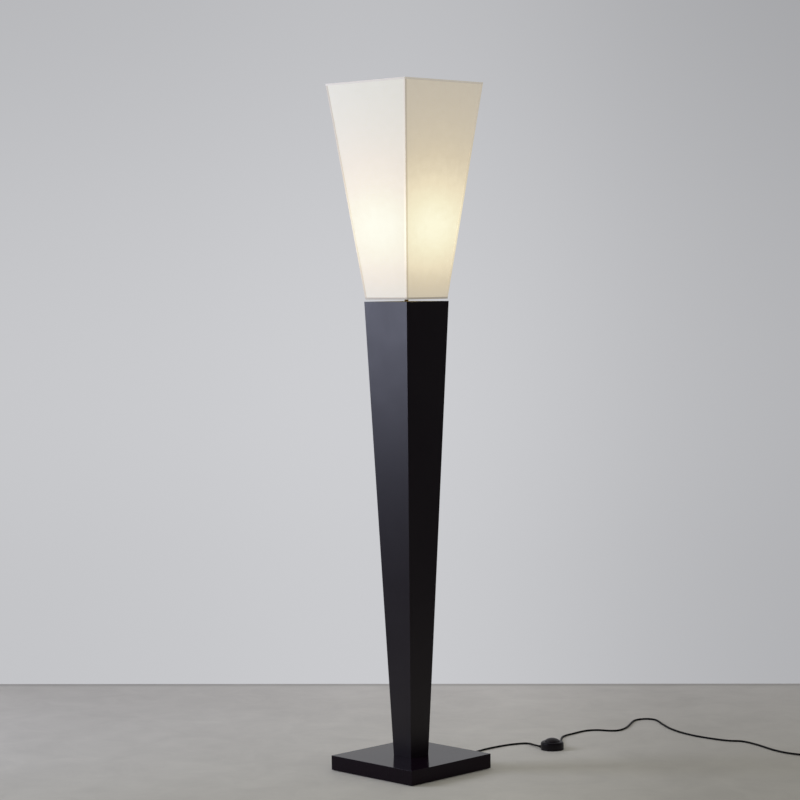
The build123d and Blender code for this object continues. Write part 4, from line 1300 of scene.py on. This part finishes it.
@dataclass
class Bulb:
    """Round opal bulb with a rolled screw cap."""

    tip: float = 1.298
    cap_radius: float = 0.013
    cap_height: float = 0.026
    wall: float = 0.0005
    collar_rise: float = 0.0035
    collar_height: float = 0.0065
    collar_radius: float = 0.009
    pitch: float = 0.00363
    thread_depth: float = 0.00042
    clearance: float = 0.00005

    def cap(self) -> Object:
        """Metal cap with a rolled thread of about four turns."""
        rows = 66
        low = self.tip + self.collar_height
        high = self.tip + self.cap_height - self.clearance

        def section(row: int, inside: float) -> list[Vector]:
            """Loop of one wall of the cap; the thread fades out at both ends."""
            height = low + (high - low) * row / rows
            depth = self.thread_depth * min(1.0, 14 * row / rows, 5 * max(0.0, 0.86 - row / rows))
            start = 2 * math.pi * (height - self.tip) / self.pitch
            reach = self.cap_radius - inside
            return ring(lambda angle: reach - depth * (1 - math.cos(start - angle)), height)

        sections = [section(row, 0.0) for row in range(rows + 1)]
        sections += [section(row, self.wall) for row in range(rows, -1, -1)]
        collar = self.tip + self.collar_rise
        sections += [ring(self.collar_radius, height) for height in (collar + self.wall, collar)]
        return piece("bulb_cap_rolled", *loft(sections, wrapped=True), BULB_METAL)

    def build(self) -> None:
        """Make the cap and dress the bulb's other nodes."""
        settle(self.cap(), Body.BULB, ["bulb_cap"], 50.0)
        OPAL_GLASS.dress("bulb_glass")
        INSULATOR.dress("bulb_collar")
        CONTACT.dress("bulb_tip")


# ---------------------------------------------------------------- foot switch, flex and plug


class FootSwitch:
    """Round foot switch with a domed button."""

    def spring(self) -> Object:
        """Return spring copied from its node, its foot on the mechanism."""
        mesh = copied("switch_spring_wound", "switch_spring", SPRING)
        thing = linked(mesh.name, mesh)
        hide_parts("switch_spring")
        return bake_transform(thing)

    def build(self) -> list[Object]:
        """Make the housing and dress what is in it; return what lies on the flex with it."""
        PLUG_RUBBER.dress("switch_mechanism", "switch_grips")
        CONTACT.dress("switch_terminals")
        ZINC.dress("switch_screws")
        made = [
            softened("switch_dish", "switch_lower", Body.LAMP, SWITCH_PLASTIC, 0.0007),
            softened("switch_lid", "switch_upper", Body.LAMP, SWITCH_PLASTIC, 0.0005),
            softened("switch_dome", "switch_button", Body.BUTTON, BUTTON_PLASTIC, 0.0006),
            softened("switch_outlet_bushes", "switch_bushes", Body.LAMP, FLEX_BLACK, 0.0003),
            self.spring(),
        ]
        names = ("switch_mechanism", "switch_terminals", "switch_grips", "switch_screws")
        return made + [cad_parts[name] for name in names]


@dataclass
class Coil:
    """Neat two-layer coil of the flex that is put away."""

    centre: tuple[float, float] = (0.6556, 0.8319)
    outer_radius: float = 0.034
    pitch: float = 0.0052
    layer_turns: int = 3
    lower: float = 0.0033
    upper: float = 0.0084
    entry_heading: float = 18.7
    exit_heading: float = 126.7
    steps: int = 16
    inner_dip: float = 0.0004

    def points(self) -> list[Point]:
        """Control points of the turns: inwards on the floor, up, and outwards on top."""
        first = math.radians(self.entry_heading - 90)
        rise = ((self.exit_heading - self.entry_heading) % 360) / 360
        turns = 2 * self.layer_turns + rise
        count = round(turns * self.steps)
        cut = 0.75 + 0.25 * math.cos(2 * math.pi / self.steps)
        inner = self.outer_radius - self.pitch * self.layer_turns
        made = []
        for step in range(count + 1):
            turn = turns * step / count
            if turn <= self.layer_turns:
                radius, height = self.outer_radius - self.pitch * turn, self.lower
            elif turn <= self.layer_turns + rise:
                t = (turn - self.layer_turns) / rise
                radius = inner - self.inner_dip * math.sin(math.pi * t)
                height = self.lower + (self.upper - self.lower) * t
            else:
                radius = inner + self.pitch * (turn - self.layer_turns - rise)
                height = self.upper
            angle, reach = first + 2 * math.pi * turn, radius / cut
            x, y = self.centre
            made.append((x + reach * math.cos(angle), y + reach * math.sin(angle), height))
        return made


def lying(*places: tuple[float, float]) -> tuple[Point, ...]:
    """Control points of flex that lies on the floor."""
    return tuple((x, y, 0.0025) for x, y in places)


@dataclass
class Flex:
    """The two lengths of flex: base to foot switch, and foot switch to plug."""

    radius: float = 0.0025
    to_switch: tuple[Point, ...] = (
        (0.0, 0.142, 0.012),
        (0.0, 0.190, 0.012),
        (-0.014, 0.236, 0.0026),
        *lying((-0.024, 0.292), (-0.023, 0.348), (-0.015, 0.398), (0.006, 0.437)),
        (0.04007, 0.41963, 0.005),
        (0.06476, 0.41572, 0.005),
        (0.08352, 0.41275, 0.005),
    )
    to_coil: tuple[Point, ...] = (
        (0.10573, 0.44694, 0.005),
        (0.09538, 0.46287, 0.005),
        (0.08449, 0.47964, 0.005),
        (0.054, 0.514, 0.0026),
        *lying((0.021, 0.555), (0.012, 0.584), (0.012, 0.614), (0.009, 0.645), (0.012, 0.675)),
        *lying((0.029, 0.698), (0.062, 0.709), (0.077, 0.730), (0.068, 0.770), (0.046, 0.812)),
        *lying((0.022, 0.855), (0.014, 0.878), (0.018, 0.899), (0.032, 0.914), (0.052, 0.917)),
        *lying((0.073, 0.905), (0.108, 0.878), (0.161, 0.843), (0.216, 0.819), (0.277, 0.806)),
        *lying((0.336, 0.806), (0.386, 0.813), (0.405, 0.831), (0.434, 0.831), (0.484, 0.816)),
        *lying((0.533, 0.795), (0.582, 0.784)),
        (0.62388, 0.78527, 0.0033),
        (0.6476, 0.7933, 0.0033),
    )
    to_plug: tuple[Point, ...] = (
        (0.6709, 0.8682, 0.00685),
        (0.6613, 0.8811, 0.00685),
        (0.6553, 0.8891, 0.00685),
    )

    def curve(self, name: str, points: Sequence[Point]) -> Object:
        """Round flex along one smooth spline.

        Args:
            name: Name of the piece.
            points: Control points of the spline.

        Returns:
            The curve object.
        """
        data = bpy.data.curves.new(name, "CURVE")
        data.dimensions = "3D"
        spline = data.splines.new("NURBS")
        spline.points.add(len(points) - 1)
        for target, point in zip(spline.points, points):
            target.co = (*point, 1.0)
        spline.order_u = 3
        spline.use_endpoint_u = True
        spline.resolution_u = 8
        data.bevel_depth = self.radius
        data.bevel_resolution = 4
        data.use_fill_caps = True
        data.materials.append(FLEX_BLACK.material())
        return linked(name, data)

    def build(self, switch: list[Object], far: list[Object]) -> None:
        """Args:
            switch: Pieces of the foot switch; not used.
            far: Coil tie, plug and pins; not used.
        """
        first = self.curve("flex_base_to_switch", self.to_switch)
        settle(first, Body.LAMP, ["flex_to_switch"])
        route = [*self.to_coil, *Coil().points(), *self.to_plug]
        second = self.curve("flex_switch_to_plug", route)
        settle(second, Body.LAMP, ["flex_to_coil", "flex_coil", "flex_tail"])


class Plug:
    """Flat two-pin plug and the band that ties the coil."""

    def build(self) -> list[Object]:
        """Make the plug and the coil's tie, dress the pins, and return them."""
        NICKEL.dress("plug_pins")
        return [
            softened("plug_moulded", "plug_body", Body.LAMP, PLUG_RUBBER, 0.0012),
            softened("coil_band", "coil_tie", Body.LAMP, TIE_TAPE, 0.0003),
            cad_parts["plug_pins"],
        ]


# ---------------------------------------------------------------- studio


@dataclass
class Viewpoint:
    """Camera that looks at the lamp from between its front and its right."""

    azimuth: float = 44.7
    distance: float = 5.8986
    height: float = 1.2502
    sideways: float = -0.01867
    pitch: float = 3.081
    roll: float = 0.590
    lens: float = 106.35

    def build(self) -> None:
        """Make the camera and look through it."""
        turn = math.radians(self.azimuth)
        back = Vector((math.sin(turn), -math.cos(turn), 0.0))
        right = Vector((math.cos(turn), math.sin(turn), 0.0))
        up = Vector((0.0, 0.0, 1.0))
        pitch, roll = math.radians(self.pitch), math.radians(self.roll)
        away = back * math.cos(pitch) + up * math.sin(pitch)
        top = up * math.cos(pitch) - back * math.sin(pitch)
        tilted_top = top * math.cos(roll) + right * math.sin(roll)
        tilted_right = right * math.cos(roll) - top * math.sin(roll)
        data = bpy.data.cameras.new("viewpoint")
        data.lens = self.lens
        data.sensor_width = 36.0
        data.clip_start, data.clip_end = 0.1, 100.0
        camera = linked("viewpoint", data)
        matrix = Matrix((tilted_right, tilted_top, away)).transposed().to_4x4()
        matrix.translation = back * self.distance + right * self.sideways + up * self.height
        camera.matrix_world = matrix
        bpy.context.scene.camera = camera


@dataclass
class Studio:
    """Pale floor up to a wall, both with painted light, soft light from the left, and a dim room
    around.

    Attributes:
        wall_levels: Painted light on the wall, by place across the view, brightest behind the
            lamp.
        wall_rise: Factor of painted light on it, by place up the view.
        backdrop: Colour of the lit backdrop that only a gloss sees.
        room_share: Share of it in the rest of the room.
        floor_across: Factor of painted light on the floor's brightness, by place across it.
        floor_depth: How far behind the lamp the floor meets the wall.
    """

    wall_tone: Colour = (1.0, 1.008, 1.045)
    # Painted light on the wall: brightest behind the lamp, darker to the right and towards the
    # top.
    wall_levels: Levels = (
        (0.0, 0.548), (0.25, 0.570), (0.44, 0.600), (0.62, 0.572), (0.80, 0.490), (1.0, 0.430),
    )
    wall_rise: Levels = ((0.0, 0.985), (0.30, 1.0), (0.5, 1.06), (0.75, 0.995), (1.0, 0.845))
    across: Point = (0.711, 0.703, 0.0)
    across_span: tuple[float, float] = (-0.169, 0.169)
    rise_span: tuple[float, float] = (-0.223, 0.116)
    backdrop: Colour = (0.578, 0.578, 0.597)
    backdrop_side: Point = (-0.70, 0.71, 0.0)
    room_share: float = 0.05
    ambient: float = 0.42
    key_energy: float = 27.5
    key_place: Point = (-1.55, -1.60, 1.32)
    key_aim: Point = (0.0, 0.0, 1.1)
    key_size: tuple[float, float] = (0.7, 1.2)
    key_colour: Colour = (0.70, 0.74, 0.95)
    floor_pale: Colour = (0.600, 0.580, 0.513)
    floor_dull: Colour = (0.546, 0.525, 0.463)
    # Painted light: the floor's brightness rises and falls across it.
    floor_across: Levels = (
        (0.0, 0.98), (0.18, 1.07), (0.36, 1.18), (0.62, 1.26),
        (0.70, 1.17), (0.78, 1.08), (0.87, 0.98), (1.0, 0.98),
    )
    floor_away: Point = (-0.6625, 0.749, 0.0)
    floor_depth: float = 1.240
    floor_front: float = 4.0
    floor_width: float = 1.4

    def key_light(self) -> None:
        """Put a soft rectangular lamp in the studio."""
        data = bpy.data.lights.new("key_light", "AREA")
        data.shape = "RECTANGLE"
        data.size, data.size_y = self.key_size
        data.energy = self.key_energy
        data.color = self.key_colour
        thing = linked("key_light", data)
        thing.location = self.key_place
        thing.rotation_mode = "QUATERNION"
        facing = Vector(self.key_place) - Vector(self.key_aim)
        thing.rotation_quaternion = facing.to_track_quat("Z", "Y")

    def floor_finish(self, away: Vector, beside: Vector) -> bpy.types.Material:
        """Pale cloudy floor with painted light across and along it, that ends in a painted shadow
        line along the wall.

        Args:
            away: Direction from the viewer to the wall.
            beside: Direction to the right of it.

        Returns:
            The material.
        """
        graph = Graph("studio_floor")
        cloud = graph.noise(2.6, 5.0, 0.62)
        speck = graph.noise(60.0, 3.0, 0.6)
        patch = graph.noise(7.0, 6.0, 0.68, None, 0.6)
        colour = graph.mix(graph.spread(cloud, 0.0, 1.0), self.floor_dull, self.floor_pale)
        reach = graph.dot(graph.place, tuple(away))
        across = graph.ranged(graph.dot(graph.place, tuple(beside)), (-1.0, 1.0))
        halves = [(place, (share / 2,) * 3) for place, share in self.floor_across]
        # Painted light: the floor is lightened and darkened across it, and brighter and bluer
        # towards the wall.
        brightness = graph.times(
            graph.ranged(reach, (-0.35, 1.2), (0.93, 1.13)),
            graph.times(graph.ramp(across, halves), 2.0),
            graph.spread(patch, 0.93, 1.07),
        )
        blue = graph.times(brightness, graph.ranged(reach, (-0.6, 1.2), (0.97, 1.07)))
        values = {0: brightness, 1: brightness, 2: blue}
        tint = graph.add("ShaderNodeCombineXYZ", values).outputs[0]
        colour = graph.mix(1.0, colour, tint, "MULTIPLY")
        end = (self.floor_depth - 0.055, self.floor_depth - 0.02)
        line = graph.ranged(reach, end, (0.0, 0.26), smooth=True)
        return graph.finish(
            Base_Color=graph.mix(line, colour, (0.12, 0.12, 0.125)),
            Roughness=graph.spread(cloud, 0.62, 0.75),
            Normal=graph.bump(speck, 0.0003, 0.2),
            Specular_IOR_Level=0.3,
        )

    def floor(self) -> None:
        """Lay the floor from in front of the lamp up to the wall behind it."""
        away = Vector(self.floor_away).normalized()
        beside = Vector((away.y, -away.x, 0.0))
        verts, faces = [], []
        steps = 16
        for row in range(steps + 1):
            reach = -self.floor_front + (self.floor_depth + self.floor_front) * row / steps
            for column in range(steps + 1):
                aside = self.floor_width * (2 * column / steps - 1)
                verts.append(tuple(away * reach + beside * aside))
        for row in range(steps):
            for column in range(steps):
                a = row * (steps + 1) + column
                faces.append([a, a + 1, a + steps + 2, a + steps + 1])
        mesh = bpy.data.meshes.new("studio_floor")
        mesh.from_pydata(verts, [], faces)
        mesh.materials.append(self.floor_finish(away, beside))
        linked("studio_floor", mesh)

    def room(self) -> None:
        """Even light all round; the camera sees the wall, and a gloss the backdrop behind."""
        world = bpy.data.worlds.new("studio_room")
        bpy.context.scene.world = world
        world.use_nodes = True
        room = Nodes(world.node_tree)
        way = room.add("ShaderNodeTexCoord").outputs["Generated"]

        def shown(strength: Socket | float, colour: Colour) -> Socket:
            """Background of one colour and strength."""
            values = {"Color": colour, "Strength": strength}
            return room.add("ShaderNodeBackground", values).outputs[0]

        def levels(side: Point, span: tuple[float, float], stops: Iterable) -> Socket:
            """Level read from stops over a range of directions."""
            greys = [(place, (level,) * 3) for place, level in stops]
            return room.ramp(room.ranged(room.dot(way, side), span), greys, "B_SPLINE")

        # Painted light on the wall that the camera sees: a glow behind the lamp, falling off to
        # the sides and the top.
        across = levels(self.across, self.across_span, self.wall_levels)
        halves = [(place, level / 2) for place, level in self.wall_rise]
        rise = levels((0.0, 0.0, 1.0), self.rise_span, halves)
        wall = shown(room.times(across, rise, 2.0), self.wall_tone)
        behind = room.dot(way, self.backdrop_side)
        share = room.ranged(behind, (0.15, 0.8), (self.room_share, 1.0), smooth=True)
        glossy = shown(share, self.backdrop)
        path = room.add("ShaderNodeLightPath").outputs
        light = shown(self.ambient, (1.0, 0.99, 0.97))
        rays = {"Is Glossy Ray": glossy, "Is Transmission Ray": wall, "Is Camera Ray": wall}
        for ray, seen in rays.items():
            light = room.add("ShaderNodeMixShader", {0: path[ray], 1: light, 2: seen}).outputs[0]
        room.add("ShaderNodeOutputWorld", {"Surface": light})

    def build(self) -> None:
        """Set the stage and its light."""
        self.floor()
        self.room()
        self.key_light()
        bpy.context.scene.view_settings.view_transform = "Standard"


def main() -> None:
    """Build the studio and every sub-assembly of the lamp, in order."""
    logging.basicConfig(level=logging.INFO, format="%(name)s: %(message)s")
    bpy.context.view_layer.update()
    Viewpoint().build()
    Studio().build()
    fasteners = FastenerTree()
    switch = FootSwitch().build()
    far = Plug().build()
    Flex().build(switch, far)
    Base().build(fasteners)
    Column().build()
    Stem().build(fasteners)
    Shade().build()
    Lampholder().build()
    Bulb().build()


if __name__ == "__main__":
    main()
